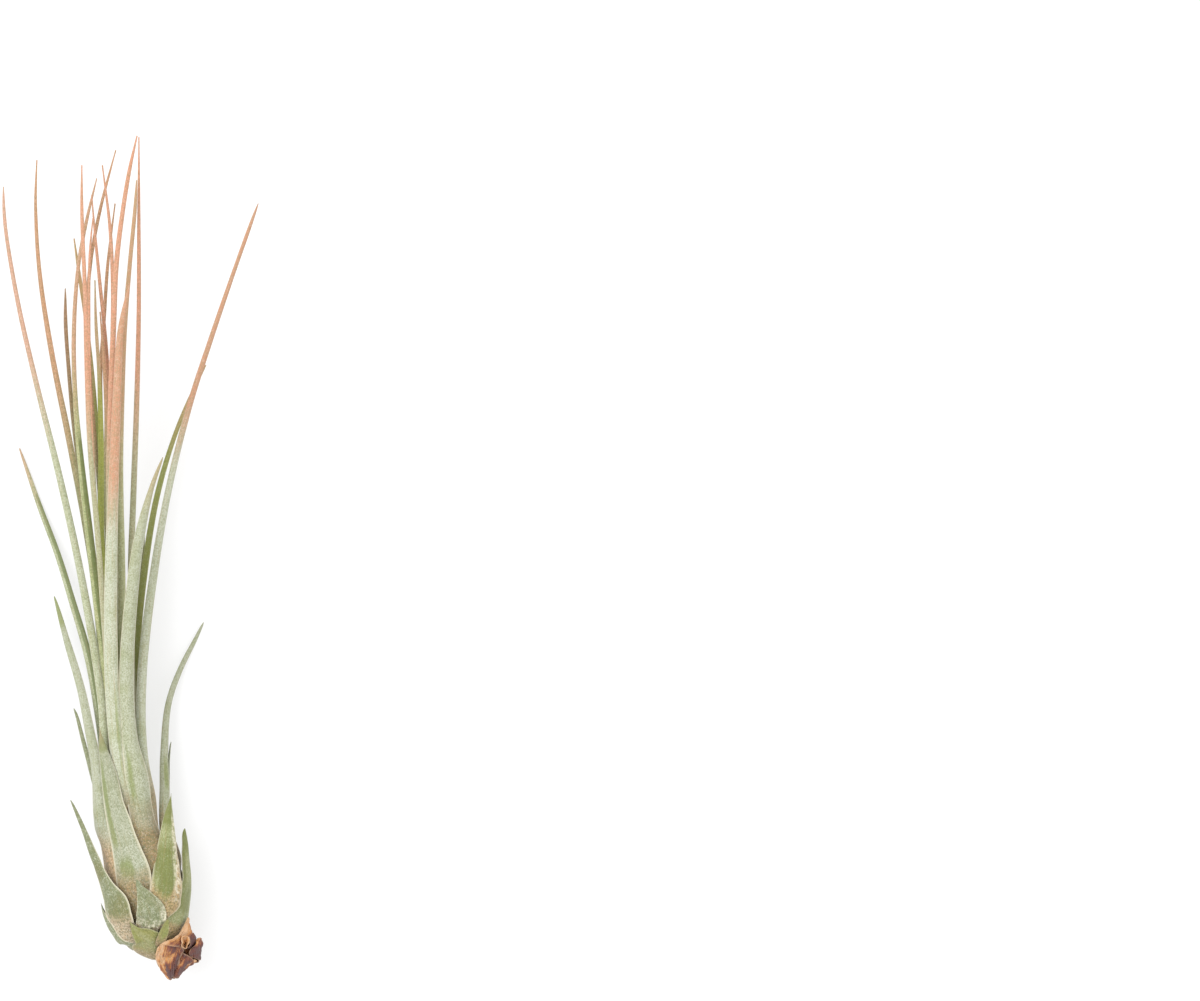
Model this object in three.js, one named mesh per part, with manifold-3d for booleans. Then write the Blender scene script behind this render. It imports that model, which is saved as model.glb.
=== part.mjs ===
// A rush-leaved air plant, lying on a surface as it would be handed over: a bulb of short sheathing leaves
// round a stem, a tuft of long rush-like leaves that fans out from it, and dried sheaths on the old stem end.
// Millimetres, +Z up. The plant lies along +Y, and the origin is the flat spot that its bulb rests on.

import * as THREE from "three";
import { mergeVertices } from "three/addons/utils/BufferGeometryUtils.js";
import Module from "manifold-3d";

const wasm = await Module();
wasm.setup();

// Driving dimensions, in millimetres.
const GAP = 0.3; // clear space between neighbouring pieces
const LEAST_BLADE = 0.6; // thinnest part of a leaf
const BLADE_THICKNESS = 0.26; // thickness of a blade as a share of its width
const MOST_BLADE = 1.1; // thickest part of a blade
const CHANNEL = 0.6; // radius of a blade's gutter as a share of its width
const LEAST_ROLL = 0.35; // least radius of the gutter's inner face
const SHEATH_EASE = 8; // length over which a sheath that hugs the bulb turns into a free blade
const WIDE = 5.2; // leaves wider than this get five columns of faces, not three
const SMOOTHING = 0.02; // how far cutting may be tidied
const STEM_SIDES = 12;
const FLOOR = { width: 400, depth: 20 };

// The plan positions below are as seen from straight above by an eye at this height over this point, so
// fromPlan draws each point in towards the eye's foot by its height.
const EYE = { x: 135, y: 121, height: 1500 };

// The bulb and the bundle of leaves above it: y, then the middle's x and z, then the outer radius.
const BODY = [
  [-17, 4.5, 12.0, 3.0],
  [-14, 2.5, 12.5, 7.0],
  [-12, 1.5, 12.8, 8.6],
  [-8, 0.0, 13.1, 10.8],
  [-4, -0.9, 13.2, 12.4],
  [0, -1.0, 13.3, 13.2],
  [5, -0.7, 13.3, 13.0],
  [10, -0.9, 13.4, 12.5],
  [15, -2.4, 13.6, 11.7],
  [20, -4.0, 13.8, 11.0],
  [25, -6.2, 14.0, 10.0],
  [30, -7.8, 14.2, 9.0],
  [40, -9.0, 14.7, 8.6],
  [60, -9.2, 16.0, 7.7],
  [100, -9.5, 20.0, 9.0],
  [240, -12.0, 32.0, 20.0],
];

// The stem in the bulb, with the dead end that it tapers to: y, x, z, radius.
const STEM = [
  [-18.6, 8.8, 11.2, 2.0],
  [-15.5, 7.2, 11.8, 3.2],
  [-12.0, 4.4, 12.4, 4.4],
  [-8.0, 1.4, 12.9, 5.6],
  [-3.0, -0.5, 13.2, 8.0],
  [4.0, -0.8, 13.3, 8.2],
  [11.0, -1.2, 13.5, 6.6],
  [17.0, -2.8, 13.8, 4.2],
  [22.0, -4.4, 14.0, 0.0],
];

// Colours of the plain solids.
const SILVER = "#c6ccb2";
const GREEN = "#97a062";
const OLIVE = "#b3a873";
const CORAL = "#e3ab85";
const TAN = "#c2ad8c";
const DRY = "#b4784c";

// Value of a station list's columns at y, straight between stations.
function stationAt(list, y) {
  const last = list.length - 1;
  let i = 0;
  while (i < last - 1 && list[i + 1][0] < y) i += 1;
  const share = THREE.MathUtils.clamp((y - list[i][0]) / (list[i + 1][0] - list[i][0]), 0, 1);
  const [x, z, radius] = [1, 2, 3].map((k) => THREE.MathUtils.lerp(list[i][k], list[i + 1][k], share));
  return { x, z, radius };
}

// Height of the bulb's skin over (x, y), sunk by depth; side is +1 above and -1 below.
function skin(x, y, depth, side = 1) {
  const body = stationAt(BODY, y);
  const radius = body.radius - depth;
  return body.z + side * Math.sqrt(Math.max(radius * radius - (x - body.x) ** 2, 0));
}
const over = (x, y, depth, width) => [x, y, skin(x, y, depth, 1), width];
const under = (x, y, depth, width) => [x, y, skin(x, y, depth, -1), width];

// A point of a sheath, sunk by depth under the bulb's skin at y, turned by degrees from +X towards +Z.
function round(y, degrees, depth, width) {
  const body = stationAt(BODY, y);
  const turn = THREE.MathUtils.degToRad(degrees);
  const reach = body.radius - depth;
  return [body.x + reach * Math.cos(turn), y, body.z + reach * Math.sin(turn), width];
}

// The leaves, each as points from its base to its tip: x, y, z and width. The order is the order of cutting:
// where two would share space, the later one gives way. "face" is the side that the leaf's back looks to, in
// degrees from +X towards +Z, and "sheath" is the y up to which it hugs the bulb.
const BASAL_LEAVES = [
  { name: "basal_leaf_lower_right", color: OLIVE, face: 75, sheath: 0, points: [
    over(5.2, -14.6, 0.2, 4.0), over(4.8, -12.6, -0.6, 5.4), over(4.5, -10, -1.0, 5.4),
    over(4.9, -7.4, -1.1, 3.4), over(5.7, -4.8, -1.3, 0)] },
  { name: "basal_leaf_lower_front", color: GREEN, face: 95, sheath: 0, points: [
    over(3.2, -16.4, 0.2, 5.0), over(1.2, -14, -0.4, 9.0), over(-0.4, -11.4, -0.6, 11.5),
    over(-2.2, -8.6, -0.8, 9.4), over(-4.4, -6.4, -0.8, 4.6), over(-6.6, -4.2, -0.9, 0)] },
  { name: "basal_leaf_front", color: GREEN, face: 92, sheath: 4, points: [
    over(0.9, -8.6, 0.9, 6.5), over(0.3, -6, -0.1, 7.8), over(-0.4, -3.4, -1.0, 8.6),
    over(-0.9, -0.5, -1.3, 7.2), over(-1.9, 3, -1.4, 4.6), over(-3, 5.4, -1.6, 2.2),
    over(-3.9, 7.6, -1.9, 0)] },
  { name: "basal_leaf_lower_left", color: GREEN, face: 185, sheath: 2, points: [
    round(-15.4, 200, -0.5, 4.0), round(-12, 196, -0.8, 8.0), round(-8.5, 191, -0.8, 8.4),
    round(-5, 187, -0.5, 5.0), round(-2, 185, -0.3, 2.2), round(0.8, 184, -0.3, 0)] },
  { name: "basal_leaf_left", color: GREEN, face: 142, sheath: 5, points: [
    round(-13.6, 152, 1.0, 7.0), round(-9, 148, 0.8, 12.0), round(-4.5, 145, 0.6, 14.0),
    round(0, 143, 0.2, 11.0), [-13.1, 5, 20.6, 6.8], [-15.4, 10, 20.0, 4.2], [-17.4, 15, 19.4, 3.0],
    [-20.0, 22, 18.6, 1.8], [-23.7, 31.5, 17.6, 0]] },
  { name: "basal_leaf_right", color: GREEN, face: 32, sheath: 8, points: [
    round(-13, 4, 0.4, 6.0), round(-8.4, 18, 0.2, 11.0), round(-3.4, 19, 0.1, 13.0),
    round(2, 14, 0.2, 10.0), [11.7, 7, 16.8, 7.0], [11.5, 13, 16.4, 4.8], [11.3, 18, 15.8, 3.0],
    [10.5, 23, 15.2, 0]] },
  { name: "basal_leaf_right_front", color: GREEN, face: 74, sheath: 8, points: [
    over(4.2, -9, 2.0, 7.0), over(4.6, -4, 1.3, 11.0), over(5.2, 1, 0.0, 12.0), [5.5, 5, 24.6, 11.0],
    [5.4, 10, 24.2, 9.0], [5.1, 15, 23.4, 6.4], [5.0, 20, 22.7, 5.0], [5.3, 26, 21.9, 3.0],
    [6.15, 33.5, 21.2, 0]] },
  { name: "basal_leaf_back", color: GREEN, face: 262, sheath: 10, points: [
    round(-15.4, 262, -0.3, 5.0), round(-12, 264, -0.4, 8.0), round(-8, 266, -0.5, 11.0),
    round(-3, 268, -0.6, 13.0), round(3, 268, -0.6, 12.0), round(9, 266, 0.0, 8.0),
    round(15, 264, 0.4, 4.4), round(23, 260, 0.4, 0)] },
  { name: "basal_leaf_back_left", color: GREEN, face: 205, sheath: 12, points: [
    round(-13.2, 228, 0.9, 6.0), round(-8, 223, 0.9, 12.0), round(-2, 219, 0.9, 15.0),
    round(5, 212, 0.8, 12.0), round(12, 204, 0.6, 7.0), round(21, 198, 0.4, 0)] },
  { name: "basal_leaf_back_right", color: GREEN, face: 318, sheath: 12, points: [
    round(-13.2, 312, 0.9, 6.0), round(-8, 316, 0.9, 12.0), round(-2, 320, 0.9, 15.0),
    round(5, 319, 0.8, 11.0), round(13, 316, 0.7, 6.0), round(24, 318, 0.6, 0)] },
];

const SHORT_LEAVES = [
  { name: "short_leaf_front", color: SILVER, face: 104, sheath: 30, points: [
    over(-4.8, -5, 2.6, 8.0), over(-5.0, 2, 2.0, 11.0), over(-5.6, 9, 1.2, 11.6), over(-7, 15, 0.8, 10.0),
    over(-8.4, 20, 0.6, 8.6), over(-9.7, 25, 0.3, 7.6), over(-11.0, 30, 0.0, 6.4), [-12.8, 40, 22.4, 4.9],
    [-14.2, 46.5, 22.3, 2.8], [-15.2, 53.5, 22.0, 0]] },
  { name: "short_leaf_left", color: SILVER, face: 124, sheath: 20, points: [
    round(-1, 152, 2.6, 8.0), round(9, 157, 1.5, 9.8), round(20, 158, 0.5, 9.2), round(30, 156, 0.7, 6.8),
    [-16.3, 40, 17.2, 4.6], [-18.2, 50, 14.6, 3.7], [-21.2, 65, 10.2, 3.0], [-25.2, 80, 6.0, 2.2],
    [-28.7, 92.7, 3.6, 0]] },
  { name: "short_leaf_right", color: SILVER, face: 64, sheath: 24, points: [
    round(3, 14, 2.4, 8.0), round(13, 14, 2.0, 7.0), [4.9, 24, 13.8, 3.8], [4.5, 35, 11.4, 2.9],
    [4.4, 45, 9.2, 2.6], [5.9, 60, 5.8, 2.2], [9.2, 70, 2.9, 1.9], [13.9, 80, 0.9, 1.2], [16.1, 84.8, 0.7, 0]] },
  { name: "short_leaf_behind_left", color: GREEN, face: 170, sheath: 20, points: [
    round(2, 192, 2.2, 8.0), round(12, 190, 1.8, 7.5), round(21, 187, 1.0, 5.0), [-15.6, 31, 12.0, 2.8],
    [-18.4, 42, 10.8, 2.0], [-20.2, 50, 9.8, 1.5], [-22.8, 59, 8.8, 0]] },
  { name: "short_leaf_behind_right", color: GREEN, face: 345, sheath: 20, points: [
    round(2, 346, 2.2, 8.0), round(12, 342, 2.0, 7.0), [5.6, 24, 9.2, 3.6], [5.9, 36, 7.8, 2.0],
    [6.0, 43, 7.2, 1.3], [6.3, 49, 6.8, 0]] },
  { name: "short_leaf_back_left", color: GREEN, face: 245, sheath: 26, points: [
    under(-6.4, 1, 1.5, 8.0), under(-6.8, 12, 1.0, 7.0), under(-9.0, 22, 0.3, 4.6), [-11.0, 32, 5.4, 3.2],
    [-12.4, 42, 5.6, 0]] },
  { name: "short_leaf_back_right", color: GREEN, face: 300, sheath: 26, points: [
    under(3.2, 4, 1.5, 7.0), under(1.6, 14, 1.0, 5.6), under(-1.2, 24, 0.2, 3.6), [-3.2, 38, 6.4, 2.8],
    [-4.2, 56, 6.6, 2.0], [-4.8, 74, 5.2, 0]] },
];

const LONG_LEAVES = [
  { name: "long_leaf_front_right", color: SILVER, face: 80, sheath: 32, points: [
    over(1.6, 4, 2.4, 9.5), over(0.9, 10, 1.9, 9.5), over(-0.9, 20, 1.2, 8.8), over(-2.9, 30, 0.6, 7.4),
    [-4.2, 40, 22.4, 6.6], [-5.9, 50, 22.8, 5.0], [-6.8, 70, 24.6, 4.6], [-5.6, 90, 27.4, 4.1],
    [-3.1, 110, 30.8, 3.3], [0.5, 125, 33.4, 1.6], [3.9, 134.4, 35.2, 0]] },
  { name: "long_leaf_front", color: SILVER, face: 96, sheath: 34, points: [
    over(-5.8, 16, 3.6, 4.6), over(-6.6, 26, 2.2, 4.6), [-8.8, 37, 21.4, 4.6], [-10.2, 48, 22.6, 4.5],
    [-11.7, 70, 24.8, 4.4], [-11.8, 100, 29.4, 3.9], [-10.9, 130, 35.0, 3.2], [-10.0, 152, 40.0, 2.7],
    [-8.9, 172, 44.6, 1.8], [-6.1, 186.5, 48.0, 0]] },
  { name: "long_leaf_right", color: SILVER, face: 68, sheath: 30, points: [
    over(2.0, 16, 3.4, 4.0), [0.6, 28, 17.0, 3.8], [-1.6, 42, 17.6, 3.6], [-2.4, 55, 18.2, 3.4],
    [-1.8, 73, 18.4, 3.1], [1.5, 100, 17.4, 2.7], [5.9, 125, 16.2, 2.2], [12.1, 150, 14.6, 1.8],
    [18.5, 170, 13.8, 1.4], [25.3, 190, 13.6, 1.0], [32.5, 210.5, 14.4, 0]] },
  { name: "long_leaf_left_outer", color: CORAL, face: 108, sheath: 26, points: [
    [-11.2, 20, 16.8, 3.2], [-13.6, 42, 17.6, 3.0], [-14.6, 60, 18.2, 2.8], [-17.5, 80, 18.2, 2.6],
    [-22.0, 105, 17.6, 2.1], [-27.4, 130, 17.2, 1.8], [-33.8, 155, 17.6, 1.7], [-39.3, 180, 18.8, 1.4],
    [-43.2, 201, 20.2, 1.0], [-44.0, 215.5, 21.6, 0]] },
  { name: "long_leaf_left_low", color: SILVER, face: 118, sheath: 26, points: [
    [-12.6, 28, 11.4, 2.8], [-14.2, 44, 11.2, 2.8], [-15.9, 58, 10.6, 2.8], [-19.0, 75, 8.4, 2.8],
    [-23.0, 90, 5.8, 2.4], [-27.7, 105, 3.2, 2.2], [-33.2, 119.5, 1.0, 1.6], [-38.8, 137, 0.6, 0]] },
  { name: "long_leaf_left_inner", color: SILVER, face: 114, sheath: 20, points: [
    [-11.0, 26, 15.0, 2.2], [-12.4, 46, 16.6, 2.4], [-13.6, 70, 18.9, 2.9], [-16.0, 90, 21.0, 3.0],
    [-18.6, 112, 23.2, 2.8], [-21.0, 133, 25.2, 2.3], [-22.6, 152, 27.2, 1.5], [-23.0, 172, 29.8, 1.2],
    [-21.6, 192, 33.4, 0.9], [-19.0, 206, 36.8, 0.8], [-16, 218, 40.0, 0]] },
  { name: "long_leaf_left_brown", color: OLIVE, face: 124, sheath: 20, points: [
    [-11.6, 32, 13.4, 2.2], [-13.2, 52, 14.0, 2.2], [-14.8, 76, 14.4, 2.2], [-17.0, 96, 14.8, 2.0],
    [-20.2, 116, 16.0, 1.9], [-24.5, 140, 18.8, 1.8], [-29.4, 165, 22.2, 1.6], [-33.1, 190, 26.0, 1.5],
    [-34.5, 210, 29.0, 1.1], [-34.0, 223.5, 31.0, 0]] },
  { name: "long_leaf_back_left", color: GREEN, face: 240, sheath: 24, points: [
    under(-9.0, 20, 1.6, 3.6), [-12.0, 42, 8.0, 3.0], [-13.4, 60, 7.6, 2.6], [-15.8, 84, 5.6, 2.0],
    [-18.6, 108, 3.6, 0]] },
  { name: "long_leaf_back", color: GREEN, face: 268, sheath: 24, points: [
    under(-5.0, 18, 1.5, 4.2), [-7.6, 38, 7.2, 3.4], [-9.2, 60, 6.0, 3.0], [-10.6, 90, 3.0, 2.6],
    [-11.8, 120, 0.4, 2.2], [-12.2, 140, -0.2, 1.4], [-12.2, 154, 0.4, 0]] },
  { name: "long_leaf_back_right", color: GREEN, face: 292, sheath: 24, points: [
    under(0.6, 20, 1.9, 3.4), [-3.2, 42, 9.6, 3.0], [-4.4, 62, 10.4, 2.6], [-3.6, 88, 8.6, 2.2],
    [-1.6, 112, 6.4, 0]] },
  { name: "long_leaf_right_dark", color: GREEN, face: 305, sheath: 20, points: [
    [-1.8, 30, 13.6, 2.4], [-4.0, 50, 14.6, 2.4], [-3.6, 76, 14.2, 2.6], [-1.3, 100, 13.2, 2.5],
    [2.3, 122, 12.0, 2.0], [7.4, 140, 10.8, 1.4], [12.6, 153, 9.8, 1.0], [16.8, 162, 9.2, 0]] },
  { name: "long_leaf_middle_brown", color: OLIVE, face: 76, sheath: 20, points: [
    [-4.2, 32, 16.6, 2.0], [-6.4, 54, 18.0, 2.1], [-8.0, 80, 20.0, 2.5], [-8.5, 104, 22.6, 2.6],
    [-8.9, 130, 25.8, 2.1], [-8.4, 152, 28.4, 1.7], [-7.5, 173, 31.4, 1.4], [-5.9, 193, 34.4, 1.1],
    [-4.4, 209, 36.8, 0.8], [-4.0, 217.5, 38.0, 0]] },
];

const INNER_LEAVES = [
  { name: "inner_leaf_1", color: CORAL, face: 118, points: [
    [-10.6, 36, 17.6, 1.8], [-12.2, 58, 20.2, 2.0], [-14.4, 90, 24.6, 2.1], [-16.3, 115, 28.8, 1.9],
    [-18.3, 138, 33.4, 1.6], [-19.2, 162, 38.2, 1.3], [-19.7, 184, 42.6, 1.1], [-20.6, 208, 47.4, 0.9],
    [-20.5, 222, 50.0, 0]] },
  { name: "inner_leaf_2", color: CORAL, face: 98, points: [
    [-8.6, 40, 18.0, 1.8], [-10.4, 62, 20.2, 1.9], [-11.8, 96, 25.0, 1.9], [-12.4, 128, 31.4, 1.7],
    [-11.8, 154, 37.4, 1.6], [-11.0, 174, 42.0, 1.6], [-10.2, 192, 46.2, 1.4], [-8.4, 207, 50.0, 1.1],
    [-6.2, 220.5, 53.4, 0.8], [-3.9, 230.8, 56.0, 0]] },
  { name: "inner_leaf_3", color: CORAL, face: 66, points: [
    [-2.8, 38, 15.2, 1.5], [-4.8, 62, 16.8, 1.6], [-5.5, 98, 20.2, 1.6], [-4.7, 124, 23.4, 1.5],
    [-3.9, 150, 26.8, 1.3], [-3.2, 178, 30.8, 1.1], [-3.2, 204, 34.6, 0.9], [-3.3, 230.4, 38.0, 0]] },
  { name: "inner_leaf_4", color: GREEN, face: 290, points: [
    [-7.8, 40, 14.6, 1.5], [-10.2, 62, 15.6, 1.8], [-13.0, 88, 19.4, 1.9], [-14.4, 112, 24.0, 1.9],
    [-14.5, 138, 28.8, 1.7], [-15.2, 160, 32.6, 0.9], [-16.1, 174, 35.0, 0.7], [-16.5, 187.5, 37.2, 0]] },
  { name: "inner_leaf_5", color: OLIVE, face: 140, points: [
    [-10.4, 48, 9.8, 1.6], [-13.0, 74, 9.8, 1.6], [-16.4, 96, 10.2, 1.6], [-20.4, 122, 11.2, 1.5],
    [-23.2, 143, 12.6, 1.4], [-24.4, 160, 14.0, 1.4], [-25.6, 175, 15.2, 1.1], [-25.5, 185, 16.0, 0]] },
  { name: "inner_leaf_6", color: OLIVE, face: 262, points: [
    [-9.0, 50, 11.4, 1.5], [-12.0, 80, 13.0, 1.6], [-14.4, 110, 15.4, 1.6], [-15.9, 140, 18.8, 1.5],
    [-17.5, 160, 21.4, 1.2], [-19.6, 178, 23.8, 0.9], [-21.4, 190, 25.4, 0.8], [-22.8, 200, 27.0, 0]] },
  { name: "inner_leaf_7", color: OLIVE, face: 120, points: [
    [-10.2, 60, 13.4, 1.1], [-13.0, 92, 16.4, 1.2], [-15.9, 130, 21.2, 1.2], [-18.2, 158, 25.6, 1.1],
    [-19.0, 180, 28.8, 1.0], [-17.7, 195, 31.2, 0.9], [-14.6, 210, 33.6, 0.8], [-10.1, 226.5, 36.2, 0]] },
  { name: "inner_leaf_8", color: OLIVE, face: 110, points: [
    [-11.6, 84, 18.2, 0.9], [-13.2, 112, 20.4, 1.0], [-14.6, 142, 25.2, 1.0], [-14.9, 161, 28.2, 0.9],
    [-13.9, 175, 30.6, 0.9], [-12.8, 192, 33.2, 0.8], [-10.5, 210.5, 36.2, 0]] },
  { name: "inner_leaf_9", color: CORAL, face: 90, points: [
    [-9.6, 84, 18.4, 0.9], [-10.6, 112, 22.2, 1.0], [-11.7, 145, 27.8, 1.0], [-13.2, 168, 32.6, 0.9],
    [-15.2, 188, 36.6, 0.8], [-16.7, 203.5, 39.8, 0.7], [-17.5, 213, 41.8, 0]] },
  { name: "inner_leaf_10", color: CORAL, face: 90, points: [
    [-9.9, 96, 22.4, 0.9], [-11.2, 125, 27.6, 0.9], [-11.6, 155, 32.4, 0.9], [-11.2, 185, 37.0, 0.8],
    [-12.0, 203, 39.6, 0.7], [-14.5, 222, 42.6, 0]] },
  { name: "inner_leaf_11", color: CORAL, face: 130, points: [
    [-15.2, 100, 19.2, 0.9], [-17.0, 130, 23.8, 0.9], [-18.2, 155, 28.6, 0.9], [-18.5, 178, 32.8, 0.8],
    [-18.2, 196, 35.8, 0.7], [-17.2, 206, 37.2, 0]] },
  { name: "inner_leaf_12", color: OLIVE, face: 100, points: [
    [-12.4, 104, 25.4, 1.1], [-13.3, 130, 29.6, 1.2], [-13.2, 148, 32.4, 1.0], [-13.8, 162, 34.4, 0.8],
    [-15.0, 178, 36.8, 0]] },
];

const DRY_SHEATHS = [
  { name: "dry_sheath_front", color: DRY, face: 104, roll: 6.0, points: [
    [6.6, -9.8, 17.0, 6.0], [6.2, -12.4, 18.4, 9.6], [5.6, -16.0, 17.6, 9.0], [5.7, -19.2, 15.2, 5.4],
    [6.5, -23.0, 12.4, 0]] },
  { name: "dry_sheath_tongue", color: TAN, face: 60, roll: 4.0, points: [
    [11.0, -15.8, 16.8, 5.0], [11.0, -12.6, 18.4, 6.4], [10.8, -9.0, 18.6, 4.8], [10.9, -6.4, 18.0, 2.6],
    [11.2, -3.6, 17.2, 0]] },
  { name: "dry_sheath_right", color: DRY, face: 78, roll: 4.6, points: [
    [10.0, -13.2, 15.2, 5.0], [12.6, -13.0, 15.6, 6.8], [14.4, -12.8, 14.0, 6.8], [15.7, -13.4, 11.4, 5.4]] },
  { name: "dry_sheath_end", color: DRY, face: 74, roll: 4.6, points: [
    [8.8, -14.2, 14.8, 5.0], [10.0, -16.0, 15.0, 7.0], [10.6, -18.0, 13.4, 6.6], [10.6, -19.8, 11.2, 4.0]] },
  { name: "dry_sheath_back", color: DRY, face: 256, roll: 6.0, points: [
    [4.2, -11.4, 6.2, 7.0], [4.8, -14.6, 6.4, 9.6], [6.4, -17.8, 7.4, 8.4], [8.6, -20.8, 9.6, 3.0]] },
  { name: "dry_sheath_back_right", color: DRY, face: 312, roll: 5.0, points: [
    [8.8, -9.6, 8.2, 6.0], [11.4, -12.2, 7.6, 8.6], [13.4, -15.0, 8.6, 7.6], [14.4, -17.4, 10.2, 3.0]] },
];

// Draws a point of the plan in to where it really is.
function fromPlan(point) {
  const pull = 1 - point.z / EYE.height;
  return new THREE.Vector3(EYE.x + (point.x - EYE.x) * pull, EYE.y + (point.y - EYE.y) * pull, point.z);
}

// A closed mesh made by moving the rings of a cone or cylinder blank: ringPoint gives the place of corner k
// of the ring at height t, from 0 at the base to 1 at the top, and middle gives the place of an end's middle.
function bentBlank(sides, steps, topRadius, ringPoint, middle) {
  const blank = new THREE.CylinderGeometry(topRadius, 1, 1, sides, steps);
  const place = blank.getAttribute("position");
  for (let i = 0; i < place.count; i += 1) {
    const t = place.getY(i) + 0.5;
    const turn = Math.atan2(place.getX(i), place.getZ(i)) / (2 * Math.PI);
    const corner = Math.round(((turn + 1) % 1) * sides) % sides;
    const onAxis = Math.hypot(place.getX(i), place.getZ(i)) < 1e-6;
    const moved = fromPlan(onAxis ? middle(t) : ringPoint(t, corner));
    place.setXYZ(i, moved.x, moved.y, moved.z);
  }
  blank.deleteAttribute("normal");
  blank.deleteAttribute("uv");
  return mergeVertices(blank, 1e-4);
}

// A leaf's frame at t: its middle line, width, outward normal and the radius that it is rolled to.
function leafFrame(leaf, t) {
  const last = leaf.points.length - 1;
  const point = leaf.curve.getPoint(t);
  const along = leaf.curve.getTangent(t);
  const spot = Math.min(Math.floor(t * last), last - 1);
  const width = THREE.MathUtils.lerp(leaf.points[spot][3], leaf.points[spot + 1][3], t * last - spot);
  const body = stationAt(BODY, point.y);
  const outward = new THREE.Vector3(point.x - body.x, 0, point.z - body.z);
  const reach = outward.length();
  const face = THREE.MathUtils.degToRad(leaf.face);
  const sheath = leaf.sheath ?? -Infinity;
  const hug = 1 - THREE.MathUtils.smoothstep(point.y, sheath - SHEATH_EASE, sheath + SHEATH_EASE);
  const normal = new THREE.Vector3(Math.cos(face), 0, Math.sin(face)).lerp(outward.normalize(), hug);
  normal.addScaledVector(along, -normal.dot(along)).normalize();
  const thickness = THREE.MathUtils.clamp(width * BLADE_THICKNESS, LEAST_BLADE, MOST_BLADE);
  const gutter = leaf.roll ?? Math.max(width * CHANNEL, thickness + LEAST_ROLL);
  const roll = THREE.MathUtils.lerp(gutter, Math.max(reach, gutter), hug);
  return { point, along, normal, across: along.clone().cross(normal), width, thickness, roll };
}

const smoothCurve = (points) => new THREE.CatmullRomCurve3(points, false, "centripetal");

// How far an end of a swollen piece moves along it.
function endStep(t, swell) {
  if (t === 0) return -swell;
  return t === 1 ? swell : 0;
}

// A leaf as a mesh: an arched strip, thickest along its middle, that tapers to a point. swell makes it that
// much larger all over.
function leafGeometry(leaf, swell = 0) {
  leaf.curve = smoothCurve(leaf.points.map(([x, y, z]) => new THREE.Vector3(x, y, z)));
  const columns = Math.max(...leaf.points.map((point) => point[3])) > WIDE ? 5 : 3;
  const steps = 2 * (leaf.points.length - 1);
  const ringPoint = (t, corner) => {
    const frame = leafFrame(leaf, t);
    const outer = corner < columns;
    const column = outer ? corner : 2 * columns - 1 - corner;
    const share = (2 * column) / (columns - 1) - 1;
    const reach = Math.asin(Math.min(frame.width / 2 / frame.roll, 1)) + swell / frame.roll;
    const angle = share * reach;
    const thickness = Math.max(frame.thickness * (1 - 0.4 * share * share), LEAST_BLADE);
    const radius = outer ? frame.roll + swell : Math.max(frame.roll - thickness - swell, 0.05);
    return frame.point.clone()
      .addScaledVector(frame.across, radius * Math.sin(angle))
      .addScaledVector(frame.normal, radius * Math.cos(angle) - frame.roll)
      .addScaledVector(frame.along, endStep(t, swell));
  };
  const middle = (t) => {
    const frame = leafFrame(leaf, t);
    return frame.point.clone()
      .addScaledVector(frame.normal, -frame.thickness / 2)
      .addScaledVector(frame.along, endStep(t, swell));
  };
  const blunt = leaf.points.at(-1)[3] > 0;
  return bentBlank(2 * columns, steps, blunt ? 1 : 0, ringPoint, middle);
}

// The stem as a mesh: round rings on its stations.
function stemGeometry() {
  const curve = smoothCurve(STEM.map(([y, x, z]) => new THREE.Vector3(x, y, z)));
  const steps = STEM.length - 1;
  const ringPoint = (t, corner) => {
    const angle = (2 * Math.PI * corner) / STEM_SIDES;
    const along = curve.getTangent(t);
    const across = new THREE.Vector3(0, 0, 1).cross(along).normalize();
    const up = along.clone().cross(across);
    const radius = STEM[Math.round(t * steps)][3];
    return curve.getPoint(t)
      .addScaledVector(across, radius * Math.cos(angle))
      .addScaledVector(up, radius * Math.sin(angle));
  };
  return bentBlank(STEM_SIDES, steps, 0, ringPoint, (t) => curve.getPoint(t));
}

// Solids and back again.
function toSolid(geometry) {
  const vertProperties = new Float32Array(geometry.getAttribute("position").array);
  const triVerts = new Uint32Array(geometry.index.array);
  const solid = new wasm.Manifold(new wasm.Mesh({ numProp: 3, vertProperties, triVerts }));
  if (solid.volume() > 0) return solid;
  for (let i = 0; i < triVerts.length; i += 3) {
    [triVerts[i], triVerts[i + 1]] = [triVerts[i + 1], triVerts[i]];
  }
  return new wasm.Manifold(new wasm.Mesh({ numProp: 3, vertProperties, triVerts }));
}

function toGeometry(solid) {
  const mesh = solid.getMesh();
  const geometry = new THREE.BufferGeometry();
  const corners = new Float32Array(mesh.vertProperties);
  geometry.setAttribute("position", new THREE.BufferAttribute(corners, mesh.numProp));
  geometry.setIndex(new THREE.BufferAttribute(new Uint32Array(mesh.triVerts), 1));
  geometry.computeVertexNormals();
  return geometry;
}

const apart = (a, b) => ["0", "1", "2"].some((k) => a.min[k] > b.max[k] || b.min[k] > a.max[k]);

// The largest single body of a solid.
function largest(solid) {
  return solid.decompose().reduce((best, body) => (body.volume() > best.volume() ? body : best));
}

const plant = new THREE.Group();
const floor = toSolid(mergeVertices(new THREE.BoxGeometry(FLOOR.width, 2 * FLOOR.width, FLOOR.depth)
  .translate(0, 0, -FLOOR.depth / 2).deleteAttribute("normal").deleteAttribute("uv")));

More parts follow.
